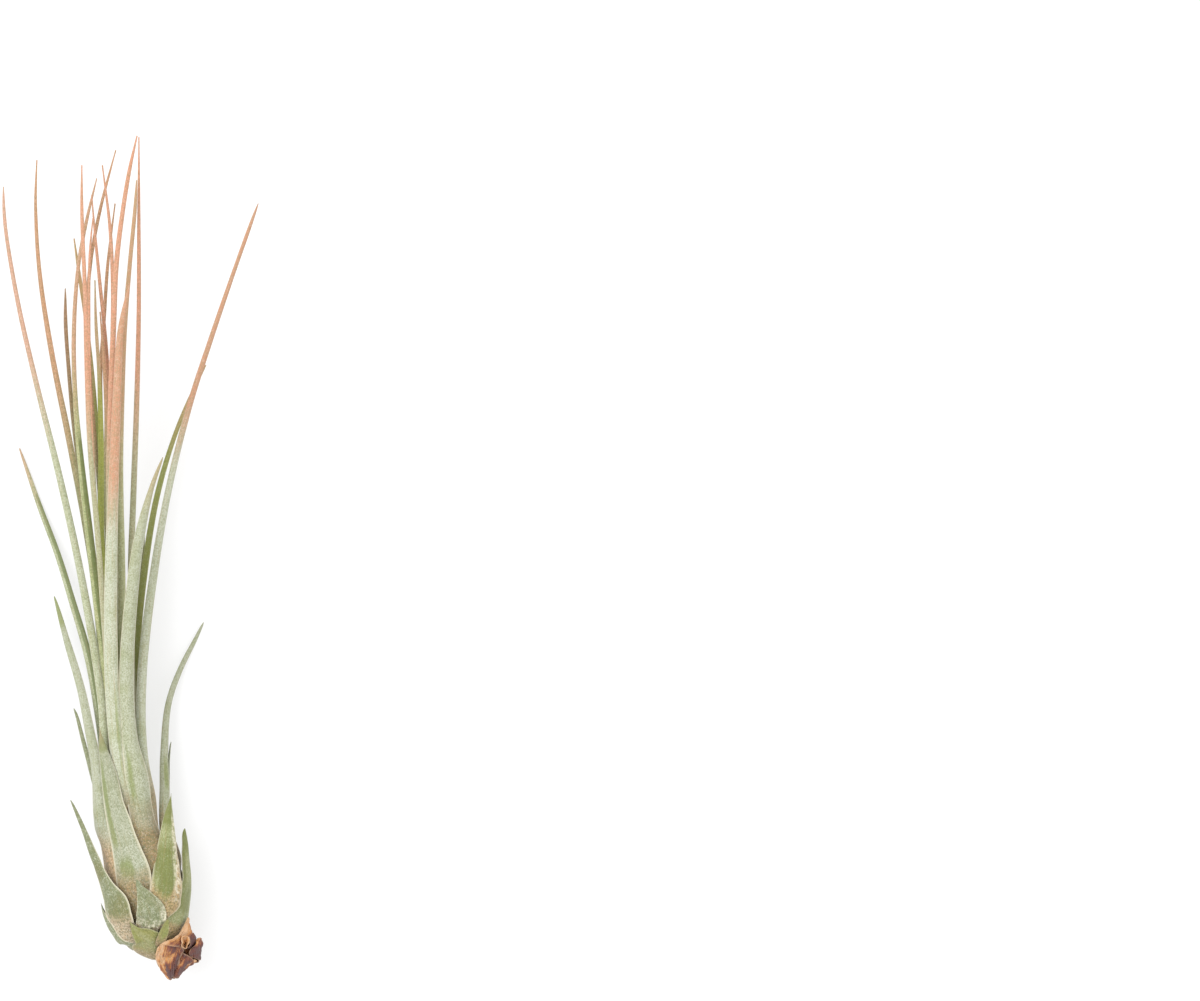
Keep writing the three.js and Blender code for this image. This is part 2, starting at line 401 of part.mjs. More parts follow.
// Adds a piece, less the floor and less a gap round every piece that came before it.
const placed = [];
function addPiece(name, color, solid, swollen) {
  let shape = solid.subtract(floor);
  for (const other of placed) {
    if (!apart(shape.boundingBox(), other.boundingBox())) shape = shape.subtract(other);
  }
  shape = largest(shape.simplify(SMOOTHING));
  const material = new THREE.MeshStandardMaterial({ color, roughness: 0.8, metalness: 0, flatShading: true });
  const mesh = new THREE.Mesh(toGeometry(shape), material);
  mesh.name = name;
  plant.add(mesh);
  if (swollen) placed.push(swollen);
}

for (const leaf of [...BASAL_LEAVES, ...SHORT_LEAVES, ...LONG_LEAVES, ...INNER_LEAVES, ...DRY_SHEATHS]) {
  addPiece(leaf.name, leaf.color, toSolid(leafGeometry(leaf)), toSolid(leafGeometry(leaf, GAP)));
}
addPiece("stem", TAN, toSolid(stemGeometry()));

export default plant;
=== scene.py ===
"""Looks of the rush-leaved air plant: each leaf, dry sheath and the stem in full detail, on a pale floor."""

import math
from typing import NamedTuple

import bpy
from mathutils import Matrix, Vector, noise


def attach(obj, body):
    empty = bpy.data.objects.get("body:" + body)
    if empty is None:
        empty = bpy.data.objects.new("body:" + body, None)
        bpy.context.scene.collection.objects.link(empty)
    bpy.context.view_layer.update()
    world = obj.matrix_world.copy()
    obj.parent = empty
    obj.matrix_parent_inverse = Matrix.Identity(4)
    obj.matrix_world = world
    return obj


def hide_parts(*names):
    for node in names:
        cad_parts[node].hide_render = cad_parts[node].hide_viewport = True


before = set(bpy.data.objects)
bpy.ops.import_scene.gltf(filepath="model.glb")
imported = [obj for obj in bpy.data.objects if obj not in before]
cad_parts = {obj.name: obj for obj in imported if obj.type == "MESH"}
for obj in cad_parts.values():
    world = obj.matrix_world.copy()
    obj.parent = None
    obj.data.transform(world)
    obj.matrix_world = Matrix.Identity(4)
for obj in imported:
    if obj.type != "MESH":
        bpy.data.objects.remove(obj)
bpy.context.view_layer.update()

bl_info = {
    "name": "Rush-leaved Air Plant",
    "version": (1, 0, 0),
    "blender": (4, 5, 0),
    "location": "3D View > Sidebar > Air Plant",
    "description": "Models a bare-rooted air plant lying on a pale floor",
    "category": "Add Mesh",
}

MM = 0.001
BODY = "root"

# The camera's place in millimetres. The plan positions in the leaf lists are as it sees them on the floor,
# so from_plan draws each point in towards the camera's foot by its height.
EYE = Vector((135.0, 121.35, 1500.0))

# The key light's place and what it is turned to, in metres, and how wide it is. The sensor is in millimetres.
KEY_PLACE = Vector((-1.5, 1.0, 2.4))
KEY_AIM = Vector((0, 0.1, 0))
KEY_SIZE = 2.2
SENSOR_WIDTH = 36.0

# The bulb and the bundle of leaves above it: y, then the middle's x and z, then the outer radius.
BULB = [
    (-17, 4.5, 12.0, 3.0),
    (-14, 2.5, 12.5, 7.0),
    (-12, 1.5, 12.8, 8.6),
    (-8, 0.0, 13.1, 10.8),
    (-4, -0.9, 13.2, 12.4),
    (0, -1.0, 13.3, 13.2),
    (5, -0.7, 13.3, 13.0),
    (10, -0.9, 13.4, 12.5),
    (15, -2.4, 13.6, 11.7),
    (20, -4.0, 13.8, 11.0),
    (25, -6.2, 14.0, 10.0),
    (30, -7.8, 14.2, 9.0),
    (40, -9.0, 14.7, 8.6),
    (60, -9.2, 16.0, 7.7),
    (100, -9.5, 20.0, 9.0),
    (240, -12.0, 32.0, 20.0),
]

# The stem in the bulb, with the dead end that it tapers to: y, x, z, radius.
STEM = [
    (-18.6, 8.8, 11.2, 2.0),
    (-15.5, 7.2, 11.8, 3.2),
    (-12.0, 4.4, 12.4, 4.4),
    (-8.0, 1.4, 12.9, 5.6),
    (-3.0, -0.5, 13.2, 8.0),
    (4.0, -0.8, 13.3, 8.2),
    (11.0, -1.2, 13.5, 6.6),
    (17.0, -2.8, 13.8, 4.2),
    (21.5, -4.3, 14.0, 0.6),
]

# How a leaf is rolled and how thick it is, as shares of its width or in millimetres.
CHANNEL = 0.6
SHEATH_EASE = 8.0
CORE_SHARE = 0.27
NEEDLE_SHARE = 0.5
NEEDLE_CORE = 0.45
MOST_CORE = 1.1
EDGE_THICKNESS = 0.16
EDGE_THINNING = 0.85
TIP_WIDTH = 0.5

# The slow wave of a leaf's skin: its length, its most height, and its height as a share of the width. Then
# the length of the wave of its thin margins. All but the share are in millimetres.
WAVE_LENGTH = 9.0
MOST_WAVE = 0.22
WAVE_SHARE = 0.03
MARGIN_WAVE_LENGTH = 3.2

# How much higher the ribs are on papery skin, as a share of their height.
PAPERY_RIBS = 3

# A leaf that is narrower than this before its tip stays nearly as wide and then ends quickly, the more so the
# smaller the power is.
NARROW = 2.5
TIP_POWER = 0.45

# How soft a patch's edges are: across, as a share of half the leaf, and at most along it, in millimetres.
PATCH_EDGE = 0.12
PATCH_FADE = 4.0

# In millimetres: about how long and wide a dried sheath is, which sets the size of its fibres, then how thick
# it is, how much that varies, and the most that it can be.
SHARD_SIZE = 10.0
SHARD_THICKNESS = 0.28
SHARD_UNEVEN = 0.1
SHARD_MOST = 0.5

# How high a dried sheath's ridges are and how far its creases sink, in millimetres, and how much darker it is
# painted for each millimetre that its surface lies below the sheet and lighter for each above it: painted
# shade in the creases and grooves, painted light on the ridges.
RIDGE_HEIGHT = 0.45
CREASE_DEPTH = 1.1
CREASE_SHADE = 0.35
RIDGE_SHADE = 0.9

# How far apart the fine ribs along a broad leaf are, over its veins.
RIB_SPACING = 1.5


class Leaf(NamedTuple):
    """A leaf: where it lies, base to tip, as (x, y, z, width), and where its colours change along y."""

    node: str
    slot: str
    finish: str
    face: float  # the way that its back looks, in degrees from +X towards +Z
    sheath: float  # the y up to which it hugs the bulb
    blush: tuple  # the y where coral starts and where it is full
    tan: tuple  # the y up to which the base is fully tan, and where tan ends
    points: list
    bow: tuple = (2.0, 2.0)  # how much further up the tan reaches at the left and right margins
    green: tuple = ()  # patches worn to green, and on two leaves a half in painted shade: from and to across, with margins at -1 and 1, then in y
    pale: tuple = ()  # patches of pale, papery skin, given in the same way
    tight: float = 1.0  # the radius that the sheath is rolled to, as a share of the bulb's


def body_at(y):
    """The bulb's middle x, middle z and radius at y."""
    for low, high in zip(BULB, BULB[1:]):
        if y <= high[0]:
            break
    share = min(max((y - low[0]) / (high[0] - low[0]), 0.0), 1.0)
    return [low[k] + (high[k] - low[k]) * share for k in (1, 2, 3)]


def over(x, y, depth, width, side=1):
    """A leaf point on the bulb's top, or its underside where side is -1, sunk by depth."""
    middle, height, radius = body_at(y)
    reach = radius - depth
    return (x, y, height + side * math.sqrt(max(reach * reach - (x - middle) ** 2, 0.0)), width)


def under(x, y, depth, width):
    return over(x, y, depth, width, side=-1)


def round_bulb(y, degrees, depth, width):
    """A leaf point on the bulb, turned by degrees from +X towards +Z and sunk by depth."""
    middle, height, radius = body_at(y)
    turn = math.radians(degrees)
    reach = radius - depth
    return (middle + reach * math.cos(turn), y, height + reach * math.sin(turn), width)


BASAL_LEAVES = [
    Leaf("basal_leaf_lower_right", "olive_leaf", "olive_basal", 75, 0, (9, 10), (-13, -9), [
        over(2.2, -13.6, 1.4, 2.0), over(3.0, -11.4, -1.2, 2.8), over(3.9, -9.2, -1.9, 3.0),
        over(4.7, -6.9, -1.8, 2.3), over(5.4, -4.4, -1.4, 0)], green=((-1.0, 0.8, -13, -4),)),
    Leaf("basal_leaf_lower_front", "green_leaf", "olive_basal", 95, 0, (9, 10), (-17, -11.5), [
        over(3.2, -16.4, 0.2, 5.0), over(1.2, -14, -0.3, 9.4), over(-0.4, -11.8, -1.2, 10.6),
        over(-1.5, -10.2, -1.9, 7.4), over(-4.1, -8.0, -2.0, 3.3), over(-6.2, -4.9, -1.9, 0)],
        green=((-1, -0.3, -11, -4), (0.5, 1, -11, -6))),
    Leaf("basal_leaf_front", "green_leaf", "basal", 92, 4, (19, 20), (-8.2, -6.4), [
        over(0.4, -9.8, 1.2, 6.5), over(-0.2, -6.8, 0.2, 8.2), over(0.5, -3.6, -0.8, 9.2),
        over(-0.1, -0.9, -1.4, 8.3), over(-1.9, 3, -1.6, 4.5), over(-3.2, 5.4, -1.8, 2.0),
        over(-3.9, 7.6, -2.0, 0)], pale=((-1, 1, -9.6, -5.4), (0.62, 1.1, -4.8, -1.4))),
    Leaf("basal_leaf_lower_left", "green_leaf", "basal", 180, 2, (19, 20), (-18, -14), [
        round_bulb(-16, 150, -0.2, 4.0), round_bulb(-13.2, 146, -0.2, 6.6), round_bulb(-10.4, 150, -0.4, 7.8),
        round_bulb(-7.4, 164, -0.4, 7.8), round_bulb(-4.6, 172, -0.5, 5.4), round_bulb(-2.2, 175, -0.6, 3.2),
        round_bulb(0.6, 177, -0.6, 0)], tight=0.6),
    Leaf("basal_leaf_left", "green_leaf", "pink_basal", 142, 5, (49, 50), (-8.5, -1.5), [
        round_bulb(-11.0, 117, 0.2, 2.6), round_bulb(-9.4, 123, -0.3, 5.6), round_bulb(-7.4, 130, -0.5, 7.8),
        round_bulb(-4.2, 131, -0.5, 9.2), round_bulb(0, 138, -0.3, 10.4), (-13.1, 5, 20.6, 6.8),
        (-15.4, 10, 20.0, 4.2), (-17.6, 15, 19.4, 3.5), (-20.1, 22, 18.6, 2.2), (-23.9, 31.5, 17.6, 0)],
        green=((-0.6, 0.9, -5.5, 0.5), (-1, 0.6, 8, 12))),
    Leaf("basal_leaf_right", "green_leaf", "bright_basal", 32, 8, (49, 50), (-8, -4.4), [
        round_bulb(-12, 26, 1.4, 9.6), round_bulb(-8.0, 29, 0.8, 13.4), round_bulb(-3.4, 27, 0.25, 16.0),
        round_bulb(2, 19, 0.25, 12.6), (11.7, 7, 16.8, 7.0), (11.4, 13, 16.4, 4.5), (11.2, 18, 15.8, 3.2),
        (10.8, 21, 15.4, 2.4), (10.5, 23, 15.2, 0)],
        green=((-1, -0.5, 4, 16), (-1, 0.3, -2, 5), (-1, 1, 16, 26))),
    Leaf("basal_leaf_right_front", "green_leaf", "bright_basal", 74, 8, (49, 50), (-1.5, 5.0), [
        over(2.4, -6.4, 1.2, 2.4), over(3.4, -3.2, -0.2, 5.4), over(4.7, 1, -0.5, 11.0), (5.4, 5, 24.9, 10.8),
        (5.5, 10, 24.2, 9.0), (5.5, 15, 23.4, 6.9), (5.6, 20, 22.7, 5.4), (5.75, 26, 21.9, 3.3),
        (6.35, 33.5, 21.2, 0)], bow=(6.0, 22.0),
        green=((-0.95, 0.25, 9, 17), (-0.55, 0.35, 2, 14), (-1, 0.3, 24, 38)),
        pale=((0.45, 0.9, 3, 15), (0.4, 1.1, 11, 28))),
    Leaf("basal_leaf_back", "green_leaf", "basal", 262, 10, (49, 50), (-10, -4), [
        round_bulb(-15.4, 262, -0.3, 5.0), round_bulb(-12, 264, -0.4, 8.0), round_bulb(-8, 266, -0.5, 11.0),
        round_bulb(-3, 268, -0.6, 13.0), round_bulb(3, 268, -0.6, 12.0), round_bulb(9, 266, 0.0, 8.0),
        round_bulb(15, 264, 0.4, 4.4), round_bulb(23, 260, 0.4, 0)]),
    Leaf("basal_leaf_back_left", "green_leaf", "basal", 205, 12, (49, 50), (-9, -2), [
        round_bulb(-13.2, 206, 0.7, 8.0), round_bulb(-8, 204, 0.9, 15.0), round_bulb(-2, 208, 0.9, 17.0),
        round_bulb(5, 212, 0.8, 12.0), round_bulb(12, 204, 0.6, 7.0), round_bulb(21, 198, 0.4, 0)]),
    Leaf("basal_leaf_back_right", "green_leaf", "basal", 318, 12, (49, 50), (-9, -2), [
        round_bulb(-13.2, 312, 0.9, 6.0), round_bulb(-8, 316, 0.9, 12.0), round_bulb(-2, 320, 0.9, 15.0),
        round_bulb(5, 319, 0.8, 11.0), round_bulb(13, 316, 0.7, 6.0), round_bulb(24, 318, 0.6, 0)]),
]

SHORT_LEAVES = [
    Leaf("short_leaf_front", "silver_leaf", "dull_silver", 104, 30, (44, 60), (-1, 15), [
        over(-4.8, -5, 2.4, 8.0), over(-5.0, 2, 1.4, 11.0), over(-5.6, 9, 0.5, 11.6), over(-7, 15, 0.2, 10.0),
        over(-8.4, 20, 0.1, 8.6), over(-9.7, 25, 0.0, 7.6), over(-11.0, 30, -0.1, 6.4),
        (-12.8, 40, 22.4, 4.9), (-14.2, 46.5, 22.3, 2.8), (-15.2, 53.5, 22.0, 0)], bow=(3.0, 3.0),
        green=((-0.8, -0.4, 18, 42), (-0.6, 0.2, 8.5, 14.0), (-1, 1, 46, 60))),
    Leaf("short_leaf_left", "silver_leaf", "rusty_silver", 124, 20, (180, 200), (8, 28), [
        round_bulb(-1, 160, 1.6, 9.0), round_bulb(8, 170, 0.1, 12.5), round_bulb(14, 169, -0.1, 12.0),
        round_bulb(21, 162, 0.3, 9.4), round_bulb(30, 156, 0.7, 6.8), (-16.3, 40, 17.2, 4.6),
        (-18.2, 50, 14.6, 3.7), (-21.2, 65, 10.2, 3.0), (-25.5, 80, 6.0, 2.3), (-28.8, 92.7, 3.6, 0)],
        green=((-1, 1, 84, 100),), tight=0.7),
    Leaf("short_leaf_right", "silver_leaf", "silver", 64, 13, (180, 200), (18, 34), [
        round_bulb(3, 14, 2.4, 8.0), round_bulb(13, 14, 2.0, 7.0), (4.9, 24, 13.8, 3.9), (4.8, 35, 11.4, 3.5),
        (4.6, 45, 9.2, 2.8), (5.7, 60, 5.8, 2.15), (9.0, 70, 2.9, 1.9), (13.9, 80, 0.9, 1.3),
        (16.1, 84.8, 0.7, 0)], green=((-0.2, 0.6, 35, 43),)),
    Leaf("short_leaf_behind_left", "green_leaf", "basal", 132, 20, (90, 95), (16, 28), [
        round_bulb(2, 192, 2.2, 11.0), round_bulb(12, 190, 1.8, 10.0), round_bulb(21, 188, 1.0, 6.4),
        (-15.6, 31, 12.0, 2.8), (-18.4, 42, 10.8, 2.0), (-20.5, 50, 9.8, 1.6),
        (-22.1, 56.5, 9.0, 1.2), (-22.9, 59, 8.8, 0)]),
    Leaf("short_leaf_behind_right", "green_leaf", "basal", 345, 20, (90, 95), (16, 28), [
        round_bulb(2, 344, 2.2, 10.0), round_bulb(12, 340, 2.0, 9.0), (5.6, 24, 9.2, 3.6),
        (5.9, 36, 7.8, 1.9), (5.9, 43, 7.2, 1.4), (6.2, 47, 6.9, 1.0), (6.4, 49, 6.8, 0)]),
    Leaf("short_leaf_back_left", "green_leaf", "green", 245, 26, (90, 95), (8, 22), [
        under(-6.4, 1, 1.5, 11.0), under(-6.8, 12, 1.0, 11.0), under(-9.0, 22, 0.3, 6.0),
        (-11.0, 32, 5.4, 3.2), (-12.4, 42, 5.6, 0)]),
    Leaf("short_leaf_back_right", "green_leaf", "green", 300, 26, (90, 95), (8, 22), [
        under(3.2, 4, 1.5, 9.0), under(1.6, 14, 1.0, 9.0), under(-1.2, 24, 0.2, 5.0), (-3.2, 38, 6.4, 2.8),
        (-4.2, 56, 6.6, 2.0), (-4.8, 74, 5.2, 0)]),
]

LONG_LEAVES = [
    Leaf("long_leaf_front_right", "silver_leaf", "silver_tan", 80, 32, (112, 134), (14, 35), [
        over(1.6, 4, 2.4, 9.5), over(1.1, 10, 1.9, 10.4), over(-0.3, 20, 1.2, 10.2), over(-2.4, 30, 0.6, 8.5),
        (-4.0, 40, 22.4, 7.0), (-5.9, 50, 22.8, 5.0), (-6.8, 70, 24.6, 4.6), (-5.6, 90, 27.4, 4.1),
        (-3.1, 110, 30.8, 3.3), (0.5, 125, 33.4, 1.6), (3.9, 134.4, 35.2, 0)], bow=(5.0, 5.0),
        green=((-0.62, -0.32, 33, 47),), pale=((-1.1, -0.84, 34, 58),)),
    Leaf("long_leaf_front", "silver_leaf", "bright_silver", 96, 34, (106, 138), (24, 40), [
        over(-5.8, 16, 3.6, 4.6), over(-6.6, 26, 2.2, 4.6), (-8.8, 37, 21.4, 4.6), (-10.2, 48, 22.6, 4.5),
        (-11.7, 70, 24.8, 4.4), (-11.8, 100, 29.4, 3.9), (-10.9, 130, 35.0, 3.2), (-10.0, 152, 40.0, 2.7),
        (-8.9, 172, 44.6, 2.0), (-6.1, 186.5, 48.0, 0)], green=((0.3, 0.5, 40, 62),)),
    Leaf("long_leaf_right", "silver_leaf", "bright_silver", 68, 30, (124, 162), (24, 48), [
        over(2.6, 16, 3.4, 4.4), (1.3, 28, 17.0, 4.2), (-1.5, 42, 17.6, 3.7), (-2.4, 55, 18.2, 3.4),
        (-1.8, 73, 18.4, 3.2), (1.5, 100, 17.4, 2.8), (5.9, 125, 16.2, 2.3), (12.1, 150, 14.6, 2.0),
        (18.5, 170, 13.8, 1.7), (25.3, 190, 13.6, 1.4), (30.6, 205, 14.2, 1.15), (32.5, 210.5, 14.4, 0)]),
    Leaf("long_leaf_left_outer", "coral_leaf", "pale_coral", 108, 26, (128, 182), (24, 44), [
        (-11.2, 20, 16.8, 3.2), (-13.6, 42, 17.6, 3.0), (-14.6, 60, 18.2, 2.8), (-17.5, 80, 18.2, 2.7),
        (-22.1, 105, 17.6, 2.4), (-27.7, 130, 17.2, 2.2), (-33.9, 155, 17.6, 1.8), (-39.6, 180, 18.8, 1.5),
        (-43.2, 201, 20.2, 1.25), (-43.9, 208.5, 20.9, 1.1), (-44.0, 215.5, 21.6, 0)]),
    # The green patch over the right half of this leaf and the next is partly the green inside of its channel
    # and partly painted shade on the side away from the key light.
    Leaf("long_leaf_left_low", "silver_leaf", "dusky", 118, 26, (112, 150), (24, 44), [
        (-12.6, 28, 11.4, 2.8), (-14.2, 44, 11.2, 2.8), (-15.9, 58, 10.6, 2.8), (-19.0, 75, 8.4, 2.8),
        (-23.3, 90, 5.8, 2.5), (-27.9, 105, 3.2, 2.2),
        (-33.3, 119.5, 1.0, 1.9), (-37.2, 131, 0.7, 1.2), (-39.2, 137, 0.6, 0)], green=((0.1, 1, 40, 122),)),
    Leaf("long_leaf_left_inner", "silver_leaf", "split", 114, 20, (132, 180), (24, 44), [
        (-11.0, 26, 15.0, 2.2), (-12.4, 46, 16.6, 2.4), (-13.6, 70, 18.9, 2.9), (-16.0, 90, 21.0, 3.0),
        (-18.6, 112, 23.2, 2.8), (-21.0, 133, 25.2, 2.3), (-22.6, 152, 27.2, 1.7), (-23.0, 172, 29.8, 1.5),
        (-21.6, 192, 33.4, 1.3), (-19.0, 206, 36.8, 1.15), (-16, 218, 40.0, 0)], green=((0.05, 1, 30, 140),)),
    Leaf("long_leaf_left_brown", "olive_leaf", "olive", 124, 20, (112, 182), (24, 44), [
        (-11.6, 32, 13.4, 2.2), (-13.2, 52, 14.0, 2.2), (-14.8, 76, 14.4, 2.2), (-17.0, 96, 14.8, 2.1),
        (-20.2, 116, 16.0, 2.1), (-24.7, 140, 18.8, 2.35), (-29.7, 165, 22.2, 2.05), (-33.4, 190, 26.0, 1.6),
        (-34.5, 210, 29.0, 1.15), (-34.0, 223.5, 31.0, 0)]),
    Leaf("long_leaf_back_left", "green_leaf", "green", 240, 24, (100, 150), (18, 36), [
        under(-9.0, 20, 1.6, 3.6), (-12.0, 42, 8.0, 3.0), (-13.4, 60, 7.6, 2.6), (-15.8, 84, 5.6, 2.0),
        (-18.6, 108, 3.6, 0)]),
    Leaf("long_leaf_back", "green_leaf", "green", 268, 24, (140, 180), (18, 36), [
        under(-5.0, 18, 1.5, 4.2), (-7.6, 38, 7.2, 3.4), (-9.2, 60, 6.0, 3.0), (-10.6, 90, 3.2, 2.6),
        (-11.8, 120, 1.2, 2.2), (-12.2, 140, 0.8, 1.4), (-12.2, 154, 0.9, 0)]),
    Leaf("long_leaf_back_right", "green_leaf", "green", 292, 24, (100, 150), (18, 36), [
        under(0.6, 20, 1.9, 3.4), (-3.2, 42, 9.6, 3.0), (-4.4, 62, 10.4, 2.6), (-3.6, 88, 8.6, 2.2),
        (-1.6, 112, 6.4, 0)]),
    Leaf("long_leaf_right_dark", "green_leaf", "fresh", 305, 20, (128, 165), (24, 44), [
        (-1.8, 30, 13.6, 2.4), (-4.0, 50, 14.6, 2.4), (-3.6, 76, 14.2, 2.6), (-1.3, 100, 13.2, 2.6),
        (2.3, 122, 12.0, 2.2), (7.4, 140, 10.8, 1.7), (12.6, 153, 9.8, 1.3), (16.8, 162, 9.2, 0)]),
    Leaf("long_leaf_middle_brown", "olive_leaf", "brown", 76, 20, (110, 172), (24, 44), [
        (-4.2, 32, 16.6, 2.0), (-6.4, 54, 18.0, 2.1), (-8.0, 80, 20.0, 2.5), (-8.5, 104, 22.6, 2.6),
        (-8.9, 130, 25.8, 2.2), (-8.4, 152, 28.4, 1.9), (-7.5, 173, 31.4, 1.6), (-5.9, 193, 34.4, 1.4),
        (-4.4, 209, 36.8, 1.2), (-4.0, 217.5, 38.0, 0)]),
]

NO_SHEATH = -200

INNER_LEAVES = [
    Leaf("inner_leaf_1", "coral_leaf", "coral", 118, NO_SHEATH, (126, 168), (20, 30), [
        (-10.6, 36, 17.6, 1.8), (-12.2, 58, 20.2, 2.0), (-14.4, 90, 24.6, 2.1), (-16.3, 115, 28.8, 2.0),
        (-18.3, 138, 33.4, 1.8), (-19.2, 162, 38.2, 1.7), (-19.7, 184, 42.6, 1.5), (-20.6, 208, 47.4, 1.25),
        (-20.5, 222, 50.0, 0)]),
    Leaf("inner_leaf_2", "coral_leaf", "coral", 98, NO_SHEATH, (112, 160), (20, 30), [
        (-8.6, 40, 18.0, 1.8), (-10.4, 62, 20.2, 1.9), (-11.8, 96, 25.0, 1.9), (-12.4, 128, 31.4, 1.8),
        (-11.8, 154, 37.4, 1.8), (-11.0, 174, 42.0, 1.8), (-10.2, 192, 46.2, 1.7), (-8.4, 207, 50.0, 1.5),
        (-6.2, 220.5, 53.4, 1.25), (-3.9, 230.8, 56.0, 0)]),
    Leaf("inner_leaf_3", "coral_leaf", "coral", 66, NO_SHEATH, (122, 178), (20, 30), [
        (-2.8, 38, 15.2, 1.7), (-4.8, 62, 16.8, 2.0), (-5.5, 98, 20.2, 2.2), (-4.7, 124, 23.4, 2.1),
        (-3.8, 150, 26.8, 1.9), (-3.2, 178, 30.8, 1.55), (-3.2, 204, 34.6, 1.25), (-3.3, 230.4, 38.0, 0)]),
    Leaf("inner_leaf_4", "green_leaf", "lime", 290, NO_SHEATH, (148, 168), (20, 30), [
        (-7.8, 40, 14.6, 1.5), (-10.2, 62, 15.6, 1.8), (-13.0, 88, 19.4, 2.0), (-14.4, 112, 24.0, 2.1),
        (-14.5, 138, 28.8, 2.0), (-15.2, 160, 32.6, 1.3), (-16.1, 174, 35.0, 1.1), (-16.5, 187.5, 37.2, 0)]),
    Leaf("inner_leaf_5", "olive_leaf", "deep_olive", 140, NO_SHEATH, (120, 190), (20, 30), [
        (-10.4, 48, 9.8, 1.6), (-13.0, 74, 9.8, 1.6), (-16.4, 96, 10.2, 1.7), (-20.4, 122, 11.2, 1.7),
        (-23.2, 143, 12.6, 1.7), (-24.7, 160, 14.0, 1.85), (-25.7, 175, 15.2, 1.8), (-25.5, 185, 16.0, 0)]),
    Leaf("inner_leaf_6", "olive_leaf", "fresh", 262, NO_SHEATH, (136, 190), (20, 30), [
        (-9.0, 50, 11.4, 1.5), (-12.0, 80, 13.0, 1.6), (-14.4, 110, 15.4, 1.7), (-15.9, 140, 18.8, 1.6),
        (-17.5, 160, 21.4, 1.5), (-19.6, 178, 23.8, 1.3), (-21.4, 190, 25.4, 1.15), (-22.8, 200, 27.0, 0)]),
    Leaf("inner_leaf_7", "olive_leaf", "olive", 120, NO_SHEATH, (110, 180), (20, 30), [
        (-10.2, 60, 13.4, 1.2), (-13.0, 92, 16.4, 1.3), (-15.9, 130, 21.2, 1.4), (-18.2, 158, 25.6, 1.4),
        (-19.0, 180, 28.8, 1.4), (-17.7, 195, 31.2, 1.3), (-14.8, 210, 33.6, 1.2), (-10.3, 226.5, 36.2, 0)]),
    Leaf("inner_leaf_8", "olive_leaf", "olive", 110, NO_SHEATH, (120, 185), (20, 30), [
        (-11.6, 84, 18.2, 1.1), (-13.2, 112, 20.4, 1.2), (-14.6, 142, 25.2, 1.3), (-14.9, 161, 28.2, 1.25),
        (-13.9, 175, 30.6, 1.2), (-12.8, 192, 33.2, 1.1), (-10.5, 210.5, 36.2, 0)]),
    Leaf("inner_leaf_9", "coral_leaf", "coral", 90, NO_SHEATH, (110, 160), (20, 30), [
        (-9.6, 84, 18.4, 1.1), (-10.6, 112, 22.2, 1.2), (-11.7, 145, 27.8, 1.3), (-13.2, 168, 32.6, 1.2),
        (-15.2, 188, 36.6, 1.15), (-16.7, 203.5, 39.8, 0.75), (-17.5, 213, 41.8, 0)]),
    Leaf("inner_leaf_10", "coral_leaf", "coral", 90, NO_SHEATH, (110, 160), (20, 30), [
        (-9.9, 96, 22.4, 1.1), (-11.2, 125, 27.6, 1.2), (-11.6, 155, 32.4, 1.25), (-11.2, 185, 37.0, 1.2),
        (-12.0, 203, 39.6, 1.1), (-14.3, 222, 42.6, 0)]),
    Leaf("inner_leaf_11", "coral_leaf", "coral", 130, NO_SHEATH, (110, 160), (20, 30), [
        (-15.2, 100, 19.2, 1.1), (-17.0, 130, 23.8, 1.2), (-18.2, 155, 28.6, 1.25), (-18.5, 178, 32.8, 1.15),
        (-18.2, 196, 35.8, 1.0), (-17.2, 206, 37.2, 0)]),
    Leaf("inner_leaf_12", "olive_leaf", "olive", 100, NO_SHEATH, (120, 170), (20, 30), [
        (-12.4, 104, 25.4, 1.2), (-13.3, 130, 29.6, 1.3), (-13.2, 148, 32.4, 1.3), (-13.8, 162, 34.4, 1.15),
        (-15.0, 178, 36.8, 0)]),
]


class Shard(NamedTuple):
    """A dried sheath, torn and crumpled: rows of (x, y, z) points that its sheet is drawn through."""

    name: str
    node: str  # the CAD node that it stands for, or nothing where it is a torn bit of another one
    age: tuple  # from 0, fresh peach, to 1, old maroon, in evenly spread rows from its top to its bottom; painted shade in the creases is added to it
    ridges: float  # how much its fibres stand up in ridges
    rows: list


